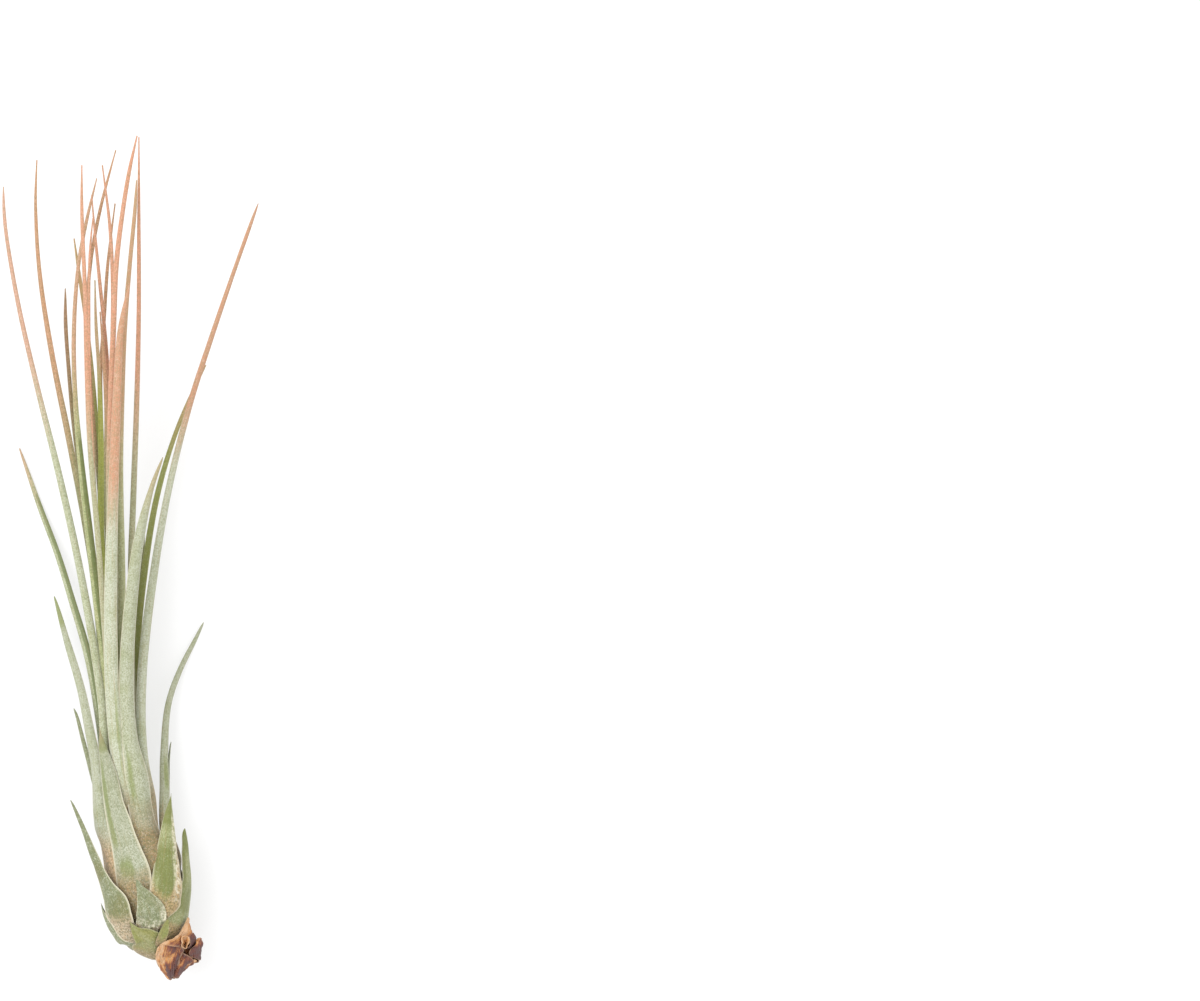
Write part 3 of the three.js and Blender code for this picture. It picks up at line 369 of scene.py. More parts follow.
SHARDS = [
    Shard("dry_sheath_front_fine", "dry_sheath_front", (
        (-0.1, 0.3, 0.5, 0.6), (-0.2, 0.1, 0.3, 0.7), (-0.2, 0.1, 0.4, 0.9), (0.0, 0.45, 0.95, 0.7),
        (0.2, 0.7, 1.0, 0.4)), 1.3, [
        [(2.8, -11.9, 22.8), (4.2, -11.3, 23.0), (5.6, -11.2, 22.3), (7.2, -11.5, 20.6), (9.0, -12.0, 18.6),
         (10.2, -13.2, 16.6)],
        [(1.9, -13.8, 21.6), (3.2, -13.6, 22.0), (4.8, -13.2, 21.3), (6.8, -13.5, 20.0), (8.4, -14.0, 18.4),
         (9.4, -14.8, 16.4)],
        [(1.0, -16.2, 15.2), (2.6, -16.2, 16.6), (4.2, -16.0, 17.4), (6.0, -16.3, 17.8), (7.6, -16.4, 16.8),
         (8.6, -16.8, 15.2)],
        [(2.6, -18.4, 12.2), (3.6, -18.4, 14.2), (4.8, -18.4, 15.4), (6.0, -18.6, 16.2), (7.1, -18.6, 15.4),
         (7.8, -18.8, 14.0)],
        [(4.4, -20.8, 12.0), (4.9, -20.8, 13.2), (5.5, -20.9, 14.0), (6.1, -20.9, 14.2), (6.7, -20.9, 13.6),
         (7.1, -20.9, 12.8)],
        [(5.8, -22.6, 12.2), (5.9, -22.7, 12.5), (6.1, -22.8, 12.7), (6.2, -22.8, 12.7), (6.4, -22.7, 12.4),
         (6.5, -22.6, 12.2)],
    ]),
    Shard("dry_sheath_tongue_fine", "dry_sheath_tongue", (
        (-0.2, -0.2, 0.0), (-0.1, -0.05, 0.3), (-0.2, 0.1, 0.5), (-0.2, 0.35, 0.7)), 0.5, [
        [(11.2, -3.7, 17.4), (11.3, -3.6, 17.6), (11.5, -3.6, 17.4), (11.6, -3.7, 17.1)],
        [(10.4, -5.3, 19.0), (10.9, -5.3, 19.0), (11.6, -5.3, 18.4), (12.1, -5.3, 17.0)],
        [(9.6, -7.2, 19.9), (10.4, -7.2, 19.6), (11.5, -7.2, 18.6), (12.4, -7.2, 16.6)],
        [(8.3, -9.2, 21.6), (9.6, -9.0, 20.6), (11.2, -8.8, 18.9), (12.6, -8.9, 16.4)],
        [(6.0, -10.3, 23.1), (7.2, -10.7, 22.4), (8.4, -10.7, 21.2), (9.6, -10.6, 19.6)],
        [(3.0, -11.4, 24.2), (4.6, -12.0, 23.9), (6.8, -12.4, 22.6), (8.9, -12.9, 20.0)],
    ]),
    Shard("dry_sheath_curl", "", ((-0.2, 0.2, -0.2), (0.0, 0.1, -0.1), (0.1, 0.2, 0.1)), 0.3, [
        [(10.9, -13.3, 19.0), (9.6, -12.8, 20.2), (9.1, -11.0, 21.6), (9.8, -9.2, 22.2), (11.0, -8.9, 21.6),
         (12.0, -10.2, 20.6), (11.9, -12.0, 19.8), (11.0, -13.4, 19.0), (9.9, -13.2, 18.6)],
        [(10.6, -12.9, 17.8), (9.8, -12.4, 18.8), (9.5, -11.0, 19.8), (9.9, -9.9, 20.2), (10.8, -9.8, 20.0),
         (11.5, -10.6, 19.2), (11.4, -11.8, 18.6), (10.8, -12.8, 17.9), (10.1, -12.7, 17.4)],
        [(10.6, -12.2, 17.2), (10.3, -11.9, 17.6), (10.2, -11.3, 18.2), (10.3, -10.9, 18.4),
         (10.6, -10.9, 18.4),
         (10.9, -11.2, 18.1), (10.9, -11.8, 17.7), (10.7, -12.1, 17.3), (10.5, -12.2, 17.1)],
    ]),
    Shard("dry_sheath_shoulder", "", ((0.4, 0.75), (0.7, 0.9), (0.6, 1.0)), 0.5, [
        [(12.0, -8.4, 17.6), (12.7, -8.2, 16.2), (13.2, -8.9, 13.8)],
        [(12.0, -9.8, 17.8), (13.0, -9.6, 16.4), (13.9, -10.2, 13.6)],
        [(11.8, -11.4, 17.4), (13.0, -11.4, 16.2), (14.0, -11.8, 13.4)],
        [(11.2, -13.2, 16.2), (12.2, -13.2, 15.4), (13.4, -13.4, 13.2)],
    ]),
    Shard("dry_sheath_right_fine", "dry_sheath_right",
        ((0.0, 0.1, 0.4), (0.6, 0.8, 1.0), (0.7, 0.9, 1.0)), 0.7, [
        [(14.2, -10.9, 15.0), (14.4, -9.9, 15.6), (15.0, -9.6, 15.2), (15.5, -10.4, 13.6),
         (15.3, -11.2, 12.2)],
        [(13.7, -11.9, 15.9), (14.3, -11.3, 16.2), (15.0, -11.4, 15.2), (15.5, -12.0, 13.4),
         (15.2, -12.4, 11.8)],
        [(12.4, -13.0, 16.5), (13.3, -12.9, 16.4), (14.6, -13.1, 15.2), (15.5, -13.6, 13.2),
         (15.2, -14.0, 11.4)],
        [(11.5, -13.9, 16.4), (12.6, -14.4, 15.8), (14.2, -14.8, 14.6), (15.4, -15.0, 12.8),
         (15.0, -15.4, 11.2)],
        [(11.6, -15.2, 15.4), (12.7, -15.9, 14.6), (14.0, -16.4, 13.6), (15.3, -16.6, 12.0),
         (14.8, -16.6, 10.8)],
    ]),
    Shard("dry_sheath_end_fine", "dry_sheath_end",
        ((0.6, 0.6, 0.6), (0.2, 0.6, 0.4), (0.8, 0.4, 0.6)), 1.0, [
        [(9.3, -13.8, 15.8), (10.4, -14.5, 16.4), (11.6, -15.1, 16.0), (12.8, -16.0, 14.8),
         (13.4, -17.0, 13.0)],
        [(8.8, -15.4, 15.4), (9.9, -15.9, 16.4), (11.0, -16.8, 15.4), (12.0, -17.6, 14.0),
         (12.4, -18.0, 12.4)],
        [(8.2, -17.2, 14.8), (9.2, -17.7, 15.4), (10.2, -18.4, 14.4), (11.0, -18.8, 12.8),
         (11.3, -18.8, 11.6)],
        [(7.6, -18.8, 14.0), (8.4, -19.3, 14.2), (9.2, -19.9, 13.2), (9.8, -20.0, 12.0),
         (10.0, -19.8, 11.2)],
        [(6.6, -21.8, 12.6), (7.1, -22.0, 12.8), (7.6, -22.1, 12.2), (8.1, -21.8, 11.6),
         (8.4, -21.4, 11.2)],
    ]),
    Shard("dry_sheath_scrap", "", ((-0.2, 0.0), (0.0, 0.1)), 0.4, [
        [(12.6, -16.6, 14.0), (13.4, -16.4, 13.8), (14.2, -16.4, 13.2)],
        [(12.2, -17.4, 13.8), (13.0, -17.3, 13.4), (13.8, -17.1, 12.8)],
        [(11.4, -18.0, 13.4), (12.0, -18.2, 12.8), (12.6, -18.0, 12.2)],
    ]),
    Shard("dry_sheath_back_fine", "dry_sheath_back",
        ((0.0, 0.3, 0.5), (0.1, 0.5, 0.7), (0.3, 0.7, 0.9)), 1.0, [
        [(-0.6, -11.0, 9.0), (1.2, -11.0, 6.6), (4.0, -11.2, 5.4), (7.0, -11.2, 5.8), (9.6, -11.0, 7.4)],
        [(0.2, -14.2, 9.4), (1.8, -14.4, 7.2), (4.6, -14.6, 5.8), (7.6, -14.6, 6.2), (10.2, -14.4, 7.8)],
        [(1.8, -17.0, 10.2), (3.2, -17.4, 8.2), (5.8, -17.8, 7.0), (8.6, -17.8, 7.2), (10.8, -17.4, 8.6)],
        [(3.8, -19.6, 11.2), (5.0, -20.0, 9.6), (7.0, -20.6, 8.6), (9.0, -20.6, 8.8), (10.4, -20.0, 10.0)],
        [(6.0, -22.0, 11.8), (6.4, -22.2, 11.2), (7.0, -22.4, 10.8), (7.8, -22.2, 10.8),
         (8.4, -21.8, 11.0)],
    ]),
    Shard("dry_sheath_back_right_fine", "dry_sheath_back_right", ((0.1, 0.4, 0.6), (0.3, 0.7, 0.9)), 0.8, [
        [(6.0, -9.4, 5.2), (8.2, -9.4, 5.6), (10.6, -9.6, 7.4), (12.2, -9.4, 10.2), (12.8, -9.0, 13.4)],
        [(7.4, -12.0, 5.2), (9.8, -12.2, 5.8), (12.2, -12.2, 7.8), (13.8, -12.0, 10.6),
         (14.2, -11.8, 13.2)],
        [(9.0, -14.8, 6.4), (11.2, -15.0, 7.0), (13.2, -15.2, 8.6), (14.8, -15.0, 10.6),
         (15.0, -14.8, 12.6)],
        [(10.6, -17.0, 8.4), (12.0, -17.4, 8.8), (13.4, -17.6, 9.6), (14.6, -17.4, 10.8),
         (14.8, -17.0, 11.8)],
    ]),
]


def from_plan(point):
    """Draws a point of the plan in to where it really is, in metres."""
    pull = 1 - point.z / EYE.z
    return Vector((
        EYE.x + (point.x - EYE.x) * pull,
        EYE.y + (point.y - EYE.y) * pull,
        point.z,
    )) * MM


def ease(value, start, end):
    """0 before start, 1 after end, and smooth between them."""
    t = min(max((value - start) / (end - start), 0.0), 1.0)
    return t * t * (3 - 2 * t)


class SmoothLine:
    """A smooth line through a leaf's points, with its width, by spot: 0 at the base, 1 at the next point."""

    def __init__(self, points):
        self.places = [Vector(p[:3]) for p in points]
        self.widths = [p[3] for p in points]
        self.last = len(points) - 1

    def place(self, spot):
        i = min(int(spot), self.last - 1)
        p1, p2 = self.places[i], self.places[i + 1]
        p0 = self.places[i - 1] if i > 0 else p1 * 2 - p2
        p3 = self.places[i + 2] if i + 2 <= self.last else p2 * 2 - p1
        d0 = max((p1 - p0).length, 1e-4) ** 0.5
        d1 = max((p2 - p1).length, 1e-4) ** 0.5
        d2 = max((p3 - p2).length, 1e-4) ** 0.5
        m1 = ((p1 - p0) / d0 - (p2 - p0) / (d0 + d1) + (p2 - p1) / d1) * d1
        m2 = ((p2 - p1) / d1 - (p3 - p1) / (d1 + d2) + (p3 - p2) / d2) * d1
        t = spot - i
        return (
            p1 * (2 * t**3 - 3 * t**2 + 1) + m1 * (t**3 - 2 * t**2 + t)
            + p2 * (3 * t**2 - 2 * t**3) + m2 * (t**3 - t**2)
        )

    def along(self, spot):
        step = 1e-3
        return (self.place(min(spot + step, self.last)) - self.place(max(spot - step, 0))).normalized()

    def width(self, spot):
        i = min(int(spot), self.last - 1)
        w = self.widths
        before = w[i - 1] if i > 0 else w[i]
        after = w[i + 2] if i + 2 <= self.last else w[i + 1]
        t = spot - i
        if w[i + 1] == 0 and w[i] < NARROW:
            return w[i] * (1 - t) ** TIP_POWER
        m1 = (w[i + 1] - before) / 2
        m2 = (after - w[i]) / 2
        value = (
            w[i] * (2 * t**3 - 3 * t**2 + 1) + m1 * (t**3 - 2 * t**2 + t)
            + w[i + 1] * (3 * t**2 - 2 * t**3) + m2 * (t**3 - t**2)
        )
        return min(max(value, min(w[i], w[i + 1])), max(w[i], w[i + 1]))

    def spots(self, step):
        """Spots about step apart, closer together towards a pointed tip."""
        found = []
        for i in range(self.last):
            length = (self.places[i + 1] - self.places[i]).length
            count = max(3, round(length / step))
            found += [i + k / count for k in range(count)]
        if self.widths[-1] == 0:
            found += [self.last - share for share in (0.06, 0.02)]
        return sorted(found) + [self.last]


def deselect():
    """Nothing is selected, so that the next operator acts on its own piece alone."""
    if bpy.context.object and bpy.context.object.mode != "OBJECT":
        bpy.ops.object.mode_set(mode="OBJECT")
    bpy.ops.object.select_all(action="DESELECT")


def apply_modifier(kind, **settings):
    """Adds a modifier to the active piece and applies it."""
    piece = bpy.context.object
    bpy.ops.object.modifier_add(type=kind)
    modifier = piece.modifiers[-1]
    for name, value in settings.items():
        setattr(modifier, name, value)
    bpy.ops.object.modifier_apply(modifier=modifier.name)


def dress(piece, node, material):
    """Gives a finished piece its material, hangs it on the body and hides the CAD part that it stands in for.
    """
    piece.data.materials.clear()
    piece.data.materials.append(material)
    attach(piece, BODY)
    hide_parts(node)


def write_attribute(mesh, name, values):
    """Keeps one number for each point of a mesh."""
    attribute = mesh.attributes.new(name, "FLOAT", "POINT")
    attribute.data.foreach_set("value", values)


def finish_sheet(piece, thickness, most):
    """Turns a laid sheet into a closed, smooth solid that is thickness[i] millimetres thick at vertex i."""
    group = piece.vertex_groups.new(name="thickness")
    for i, value in enumerate(thickness):
        group.add([i], value / most, "REPLACE")
    inner = piece.vertex_groups.new(name="inner_side").index
    apply_modifier(
        "SOLIDIFY", thickness=most * MM, offset=-1.0, vertex_group="thickness",
        shell_vertex_group="inner_side", use_quality_normals=True,
    )
    apply_modifier("SUBSURF", levels=1, render_levels=1)
    mesh = piece.data
    inside = [0.0] * len(mesh.vertices)
    for vertex in mesh.vertices:
        for member in vertex.groups:
            if member.group == inner:
                inside[vertex.index] = member.weight
        vertex.co.z = max(vertex.co.z, 0.0)
    write_attribute(mesh, "inner", inside)
    piece.vertex_groups.clear()
    bpy.ops.object.shade_smooth()


def leaf_frame(leaf, line, spot):
    """A leaf's place, outward normal, sideways direction, width and roll radius at a spot."""
    place = line.place(spot)
    along = line.along(spot)
    width = line.width(spot)
    middle, height, _ = body_at(place.y)
    outward = Vector((place.x - middle, 0, place.z - height))
    reach = outward.length
    hug = 1 - ease(place.y, leaf.sheath - SHEATH_EASE, leaf.sheath + SHEATH_EASE)
    face = math.radians(leaf.face)
    normal = Vector((math.cos(face), 0, math.sin(face))).lerp(outward.normalized(), hug)
    normal = (normal - along * normal.dot(along)).normalized()
    gutter = max(width * CHANNEL, 0.5)
    roll = gutter + (max(reach * leaf.tight, gutter) - gutter) * hug
    return place, normal, along.cross(normal), width, roll


def patch(patches, share, y):
    """How much a spot of a leaf is in any of the patches, from 0 to 1 with soft edges."""
    most = 0.0
    for left, right, low, high in patches:
        inside = ease(share, left - PATCH_EDGE, left + PATCH_EDGE)
        inside *= 1 - ease(share, right - PATCH_EDGE, right + PATCH_EDGE)
        fade = min(PATCH_FADE, (high - low) / 2)
        inside *= ease(y, low - fade / 2, low + fade / 2) * (1 - ease(y, high - fade, high + fade))
        most = max(most, inside)
    return most


def model_leaf(leaf, material, columns, step):
    """Lays a fine grid on a leaf's line, rolls it to its channel, and gives it its thickness and marks.

    The roll, the taper and the ribs change from row to row, so the rows are placed by formula.
    """
    looks = bpy.context.scene.air_plant_looks
    rib_height, margin_wave = looks.rib_height / MM, looks.margin_wave / MM
    line = SmoothLine(leaf.points)
    spots = line.spots(step)
    deselect()
    bpy.ops.mesh.primitive_grid_add(x_subdivisions=columns, y_subdivisions=len(spots) - 1, size=2)
    piece = bpy.context.object
    piece.name = leaf.node + "_fine"
    mesh = piece.data
    frames = [leaf_frame(leaf, line, spot) for spot in spots]
    lengths = [0.0]
    for a, b in zip(frames, frames[1:]):
        lengths.append(lengths[-1] + (b[0] - a[0]).length)
    widest = max(line.widths)
    ribs = max(2, round(widest / RIB_SPACING / 2)) * 2
    thickness, grid = [], []
    marks = {"blush": [], "tan": [], "deep": [], "rim": [], "green": [], "pale": []}
    for vertex in mesh.vertices:
        share = vertex.co.x
        row = round((vertex.co.y + 1) / 2 * (len(spots) - 1))
        place, normal, across, width, roll = frames[row]
        width = max(width, TIP_WIDTH / max(widest / NARROW, 1.0))
        angle = share * math.asin(min(width / 2 / roll, 0.98))
        pale = patch(leaf.pale, share, place.y)
        wave = noise.noise(Vector((share * 2.3, lengths[row] / WAVE_LENGTH, leaf.face)))
        wave *= min(width * WAVE_SHARE, MOST_WAVE)
        edge = noise.noise(Vector((share * 4, lengths[row] / MARGIN_WAVE_LENGTH, leaf.face + 7)))
        wave += edge * ease(abs(share), 0.7, 1.0) * ease(width, 3.0, 9.0) * margin_wave
        rib = math.cos(math.pi * ribs * share) * ease(width, 2.0, 6.0)
        wave += rib * rib_height * (1 + PAPERY_RIBS * pale)
        rise = roll * math.cos(angle) - roll + wave
        spot = place + across * (roll * math.sin(angle)) + normal * rise
        vertex.co = from_plan(spot)
        core = min(max(width * CORE_SHARE, min(width * NEEDLE_SHARE, NEEDLE_CORE)), MOST_CORE)
        thickness.append(max(core * (1 - share * share * EDGE_THINNING), min(EDGE_THICKNESS, core)))
        marks["blush"].append(ease(spot.y, *leaf.blush))
        bow = leaf.bow[0 if share < 0 else 1] * share * share
        marks["tan"].append(1 - ease(spot.y - bow, *leaf.tan))
        # Painted shade: the base is marked darker lower down, where it goes in under the other leaves.
        marks["deep"].append(1 - ease(spot.y - bow / 2, leaf.tan[0] - 9, leaf.tan[0] + 2))
        marks["rim"].append(ease(abs(share), 0.82, 1.0) * ease(width, 1.5, 4.0))
        marks["green"].append(patch(leaf.green, share, place.y))
        marks["pale"].append(pale)
        grid.append((share * (width + widest) / 4 * MM, lengths[row] * MM))
    for loop in mesh.loops:
        mesh.uv_layers.active.data[loop.index].uv = grid[loop.vertex_index]
    for name, values in marks.items():
        write_attribute(mesh, name, values)
    finish_sheet(piece, thickness, MOST_CORE)
    dress(piece, leaf.node, material)


def srgb(code):
    """A hex colour as linear red, green, blue and alpha."""
    values = []
    for i in (1, 3, 5):
        c = int(code[i:i + 2], 16) / 255
        values.append(c / 12.92 if c <= 0.04045 else ((c + 0.055) / 1.055) ** 2.4)
    return (*values, 1.0)


def add_node(tree, kind, output="", settings=None, inputs=None):
    """Adds a node, sets it up, feeds its inputs by socket name, and gives back one of its outputs."""
    node = tree.nodes.new(kind)
    for name, value in (settings or {}).items():
        setattr(node, name, value)
    for name, value in (inputs or {}).items():
        socket = next(s for s in node.inputs if name in (s.identifier, s.name))
        if isinstance(value, bpy.types.NodeSocket):
            tree.links.new(value, socket)
        else:
            socket.default_value = value
    return next((s for s in node.outputs if output in (s.identifier, s.name)), node)


def new_material(name):
    material = bpy.data.materials.new(name)
    material.use_nodes = True
    material.node_tree.nodes.clear()
    return material, material.node_tree


# Real sizes of the patterns on a leaf. The scales of the scurf are about 0.2 mm across on a real leaf. They
# are drawn about half as wide again, because they would be too fine to see.
FIBRE_WIDTH = 0.5 * MM
FIBRE_LENGTH = 16 * MM
CLOUD = 7 * MM
SCALE = 0.32 * MM
BLOTCH = 1.3 * MM
FLECK = 0.6 * MM
SKIN_RELIEF = 0.12 * MM

# The same for a dried sheath and for the bark.
DRY_FIBRE_WIDTH = 0.35 * MM
DRY_FIBRE_LENGTH = 6 * MM
DRY_BLOTCH = 2.6 * MM
DRY_RELIEF = 0.2 * MM
BARK_FIBRE_WIDTH = 0.5 * MM
BARK_FIBRE_LENGTH = 9 * MM
BARK_RELIEF = 0.5 * MM


class Skin(NamedTuple):
    """The colours of a leaf's skin, as sRGB hex, how thick its scurf is, and how pale its margins are."""

    body: str
    green: str
    channel: str
    blush: str
    pale_blush: str
    tan: str
    fleck: str
    gap: str
    scurf: float
    margin: float


SKINS = {
    "silver": Skin(
        "#a6a993", "#7f8856", "#7b8150", "#b8775a", "#bf9479", "#8f734c", "#61462c", "#6c714c", 0.5, 0.9),
    "bright_silver": Skin(
        "#b0b39f", "#8a9364", "#7b8150", "#b56f4f", "#bb8c70", "#967c5b", "#61462c", "#7a7f5e", 0.45, 0.9),
    "dull_silver": Skin(
        "#9b9e89", "#78814f", "#7b8150", "#a98363", "#ab9677", "#977c55", "#664a30", "#646a46", 0.5, 0.7),
    "rusty_silver": Skin(
        "#a6a995", "#828b58", "#7b8150", "#a98363", "#ab9677", "#bd9a76", "#8a6444", "#6c714c", 0.5, 0.9),
    # The dark greens of the dusky and split skins are partly the green inside of a leaf's channel and partly
    # painted shade, for the half of a leaf away from the key light.
    "dusky": Skin(
        "#a5a98a", "#667046", "#6d7642", "#b0755a", "#b99478", "#8f7553", "#61462c", "#6b7549", 0.35, 0.5),
    "silver_tan": Skin(
        "#a6a993", "#7f8856", "#7b8150", "#a18d67", "#a89a78", "#8f734c", "#61462c", "#6c714c", 0.5, 0.9),
    "split": Skin(
        "#9ea271", "#5c662e", "#6d7642", "#b0755a", "#b99478", "#8f7553", "#61462c", "#5f683c", 0.35, 0.5),
    "pale_coral": Skin(
        "#aaae94", "#8a935f", "#7b8150", "#b97b62", "#c49f8e", "#8f7553", "#61462c", "#6f7450", 0.4, 0.5),
    "coral": Skin(
        "#9fa080", "#858a5a", "#7b7c4c", "#bc7557", "#c49277", "#8f7553", "#61462c", "#7a7250", 0.3, 0.5),
    "olive": Skin(
        "#828158", "#6a6c3a", "#62602f", "#ac7554", "#b28a69", "#8f7656", "#604831", "#62603a", 0.25, 0.4),
    "deep_olive": Skin(
        "#817a50", "#6f6b3a", "#5c5429", "#8f6645", "#98775a", "#8f7656", "#604831", "#5d5430", 0.2, 0.4),
    "brown": Skin(
        "#b4b78e", "#949866", "#7b7a4a", "#ad7556", "#b5906f", "#8f7656", "#604831", "#84855c", 0.35, 0.5),
    "green": Skin(
        "#8c9164", "#6d7442", "#666c38", "#a06c4f", "#a98467", "#8f7656", "#604831", "#5f663c", 0.35, 0.5),
    "fresh": Skin(
        "#a3a962", "#8a9645", "#80853f", "#aa7a58", "#b09069", "#8f7656", "#604831", "#747b40", 0.3, 0.5),
    "lime": Skin(
        "#939649", "#7f8438", "#8d913a", "#a98467", "#b2977c", "#8f7656", "#604831", "#6f752f", 0.15, 0.4),
    "basal": Skin(
        "#7d825f", "#6a703f", "#60673d", "#a6724f", "#b08866", "#a28259", "#6d5033", "#565f3e", 0.75, 0.35),
    "bright_basal": Skin(
        "#8f9466", "#6a7236", "#60673d", "#a6724f", "#b08866", "#b3976c", "#806044", "#646937", 0.45, 0.55),
    "pink_basal": Skin(
        "#777c58", "#6c6d3e", "#60673d", "#a6724f", "#b08866", "#b8a184", "#8c7358", "#525b3a", 0.75, 0.8),
    "olive_basal": Skin(
        "#8c8b58", "#7d8040", "#60673d", "#a6724f", "#b08866", "#99805a", "#6b5036", "#5f6134", 0.4, 0.25),
}


def lay_colours(tree, colour, layers):
    """A colour with others laid over it in turn, each given as (share, colour), where the share is 0 to 1."""
    for share, cover in layers:
        colour = add_node(tree, "ShaderNodeMix", "Result_Color", {"data_type": "RGBA"}, {
            "Factor_Float": share, "A_Color": colour, "B_Color": cover})
    return colour


def leaf_material(name, skin):
    """Living bromeliad leaf skin: waxy tissue under a scurf of silvery scales, which keeps it matt."""
    looks = bpy.context.scene.air_plant_looks
    material, tree = new_material(name)
    here = add_node(tree, "ShaderNodeTexCoord", "Object")
    on_leaf = add_node(tree, "ShaderNodeTexCoord", "UV")
    fibre_place = add_node(tree, "ShaderNodeMapping", "Vector", {}, {
        "Vector": on_leaf, "Scale": (1 / FIBRE_WIDTH, 1 / FIBRE_LENGTH, 1)})
    fibre = add_node(tree, "ShaderNodeTexNoise", "Fac", {}, {
        "Vector": fibre_place, "Scale": 1.0, "Detail": 2.0, "Roughness": 0.6})
    cloud = add_node(tree, "ShaderNodeTexNoise", "Fac", {}, {
        "Vector": here, "Scale": 1 / CLOUD, "Detail": 3.0, "Roughness": 0.55})
    fleck = add_node(tree, "ShaderNodeTexNoise", "Fac", {}, {
        "Vector": here, "Scale": 1 / FLECK, "Detail": 2.0, "Roughness": 0.7})

    mark = {}
    for mark_name in ("green", "inner", "blush", "tan", "deep", "rim", "pale"):
        mark[mark_name] = add_node(tree, "ShaderNodeAttribute", "Fac", {"attribute_name": mark_name})

    # Green tissue shows in streaks and clouds where the scurf is worn, and fully in the green patches.
    worn = add_node(tree, "ShaderNodeMath", "Value", {"operation": "MULTIPLY_ADD"}, {
        "Value": fibre, "Value_001": 0.5, "Value_002": cloud})
    bare = add_node(tree, "ShaderNodeMath", "Value", {"operation": "MULTIPLY_ADD"}, {
        "Value": mark["green"], "Value_001": 0.7, "Value_002": worn})
    bare = add_node(tree, "ShaderNodeMapRange", "Result", {}, {
        "Value": bare, "From Min": 0.7, "From Max": 1.25})
    layers = [(bare, srgb(skin.green)), (mark["inner"], srgb(skin.channel))]

    # The coral of the upper leaf starts in streaks.
    streaky = add_node(tree, "ShaderNodeMath", "Value", {"operation": "ADD"}, {
        "Value": mark["blush"], "Value_001": fibre})
    blushed = add_node(tree, "ShaderNodeMapRange", "Result", {}, {
        "Value": streaky, "From Min": 0.5, "From Max": 1.3})
    layers.append((blushed, lay_colours(tree, srgb(skin.blush), [(fibre, srgb(skin.pale_blush))])))

    # The sheath's base is tan with brown flecks, which run up the leaf's fibres. Lower down, where the base
    # goes in under the other leaves, the tan is darkened half way to the fleck brown as painted shade.
    tan_edge = add_node(tree, "ShaderNodeMath", "Value", {"operation": "MULTIPLY_ADD"}, {
        "Value": worn, "Value_001": 0.6, "Value_002": mark["tan"]})
    tanned = add_node(tree, "ShaderNodeMapRange", "Result", {}, {
        "Value": tan_edge, "From Min": 0.55, "From Max": 1.2})
    flecked = add_node(tree, "ShaderNodeMapRange", "Result", {}, {
        "Value": fleck, "From Min": 0.44, "From Max": 0.64})
    deep = add_node(tree, "ShaderNodeMath", "Value", {"operation": "MULTIPLY"}, {
        "Value": mark["deep"], "Value_001": 0.5})
    flecks = [(flecked, srgb(skin.fleck)), (deep, srgb(skin.fleck))]
    layers.append((tanned, lay_colours(tree, srgb(skin.tan), flecks)))

    # The scurf: a pale scale in each cell of a fine mesh of cells, thicker in some blotches than in others,
    # with the green tissue between the scales.
    scale_place = add_node(tree, "ShaderNodeMapping", "Vector", {}, {
        "Vector": on_leaf, "Scale": (1 / SCALE, 0.8 / SCALE, 1)})
    cell = add_node(tree, "ShaderNodeTexVoronoi", "Distance", {}, {
        "Vector": scale_place, "Scale": 1.0})
    gap = add_node(tree, "ShaderNodeMapRange", "Result", {}, {
        "Value": cell, "From Min": 0.3, "From Max": 0.8, "To Max": 0.55})
    layers.append((gap, srgb(skin.gap)))
    speck = add_node(tree, "ShaderNodeMapRange", "Result", {}, {
        "Value": fleck, "From Min": 0.5, "From Max": 0.75, "To Max": 0.75})
    even = add_node(tree, "ShaderNodeMath", "Value", {"operation": "MULTIPLY_ADD"}, {
        "Value": blushed, "Value_001": -0.75, "Value_002": 1.0})
    speck = add_node(tree, "ShaderNodeMath", "Value", {"operation": "MULTIPLY"}, {
        "Value": speck, "Value_001": even})
    layers.append((speck, srgb(skin.gap)))
    blotch = add_node(tree, "ShaderNodeTexNoise", "Fac", {}, {
        "Vector": here, "Scale": 1 / BLOTCH, "Detail": 4.0, "Roughness": 0.7})
    thick = add_node(tree, "ShaderNodeMapRange", "Result", {}, {
        "Value": blotch, "From Min": 0.42, "From Max": 0.62})
    disc = add_node(tree, "ShaderNodeMapRange", "Result", {}, {
        "Value": cell, "From Min": 0.6, "From Max": 0.2, "To Max": skin.scurf})
    kept = add_node(tree, "ShaderNodeMath", "Value", {"operation": "MULTIPLY_ADD"}, {
        "Value": mark["green"], "Value_001": -0.55, "Value_002": 1.0})
    thick = add_node(tree, "ShaderNodeMath", "Value", {"operation": "MULTIPLY"}, {
        "Value": thick, "Value_001": kept})
    scales = add_node(tree, "ShaderNodeMath", "Value", {"operation": "MULTIPLY"}, {
        "Value": disc, "Value_001": thick})
    layers.append((scales, tuple(looks.scurf)))

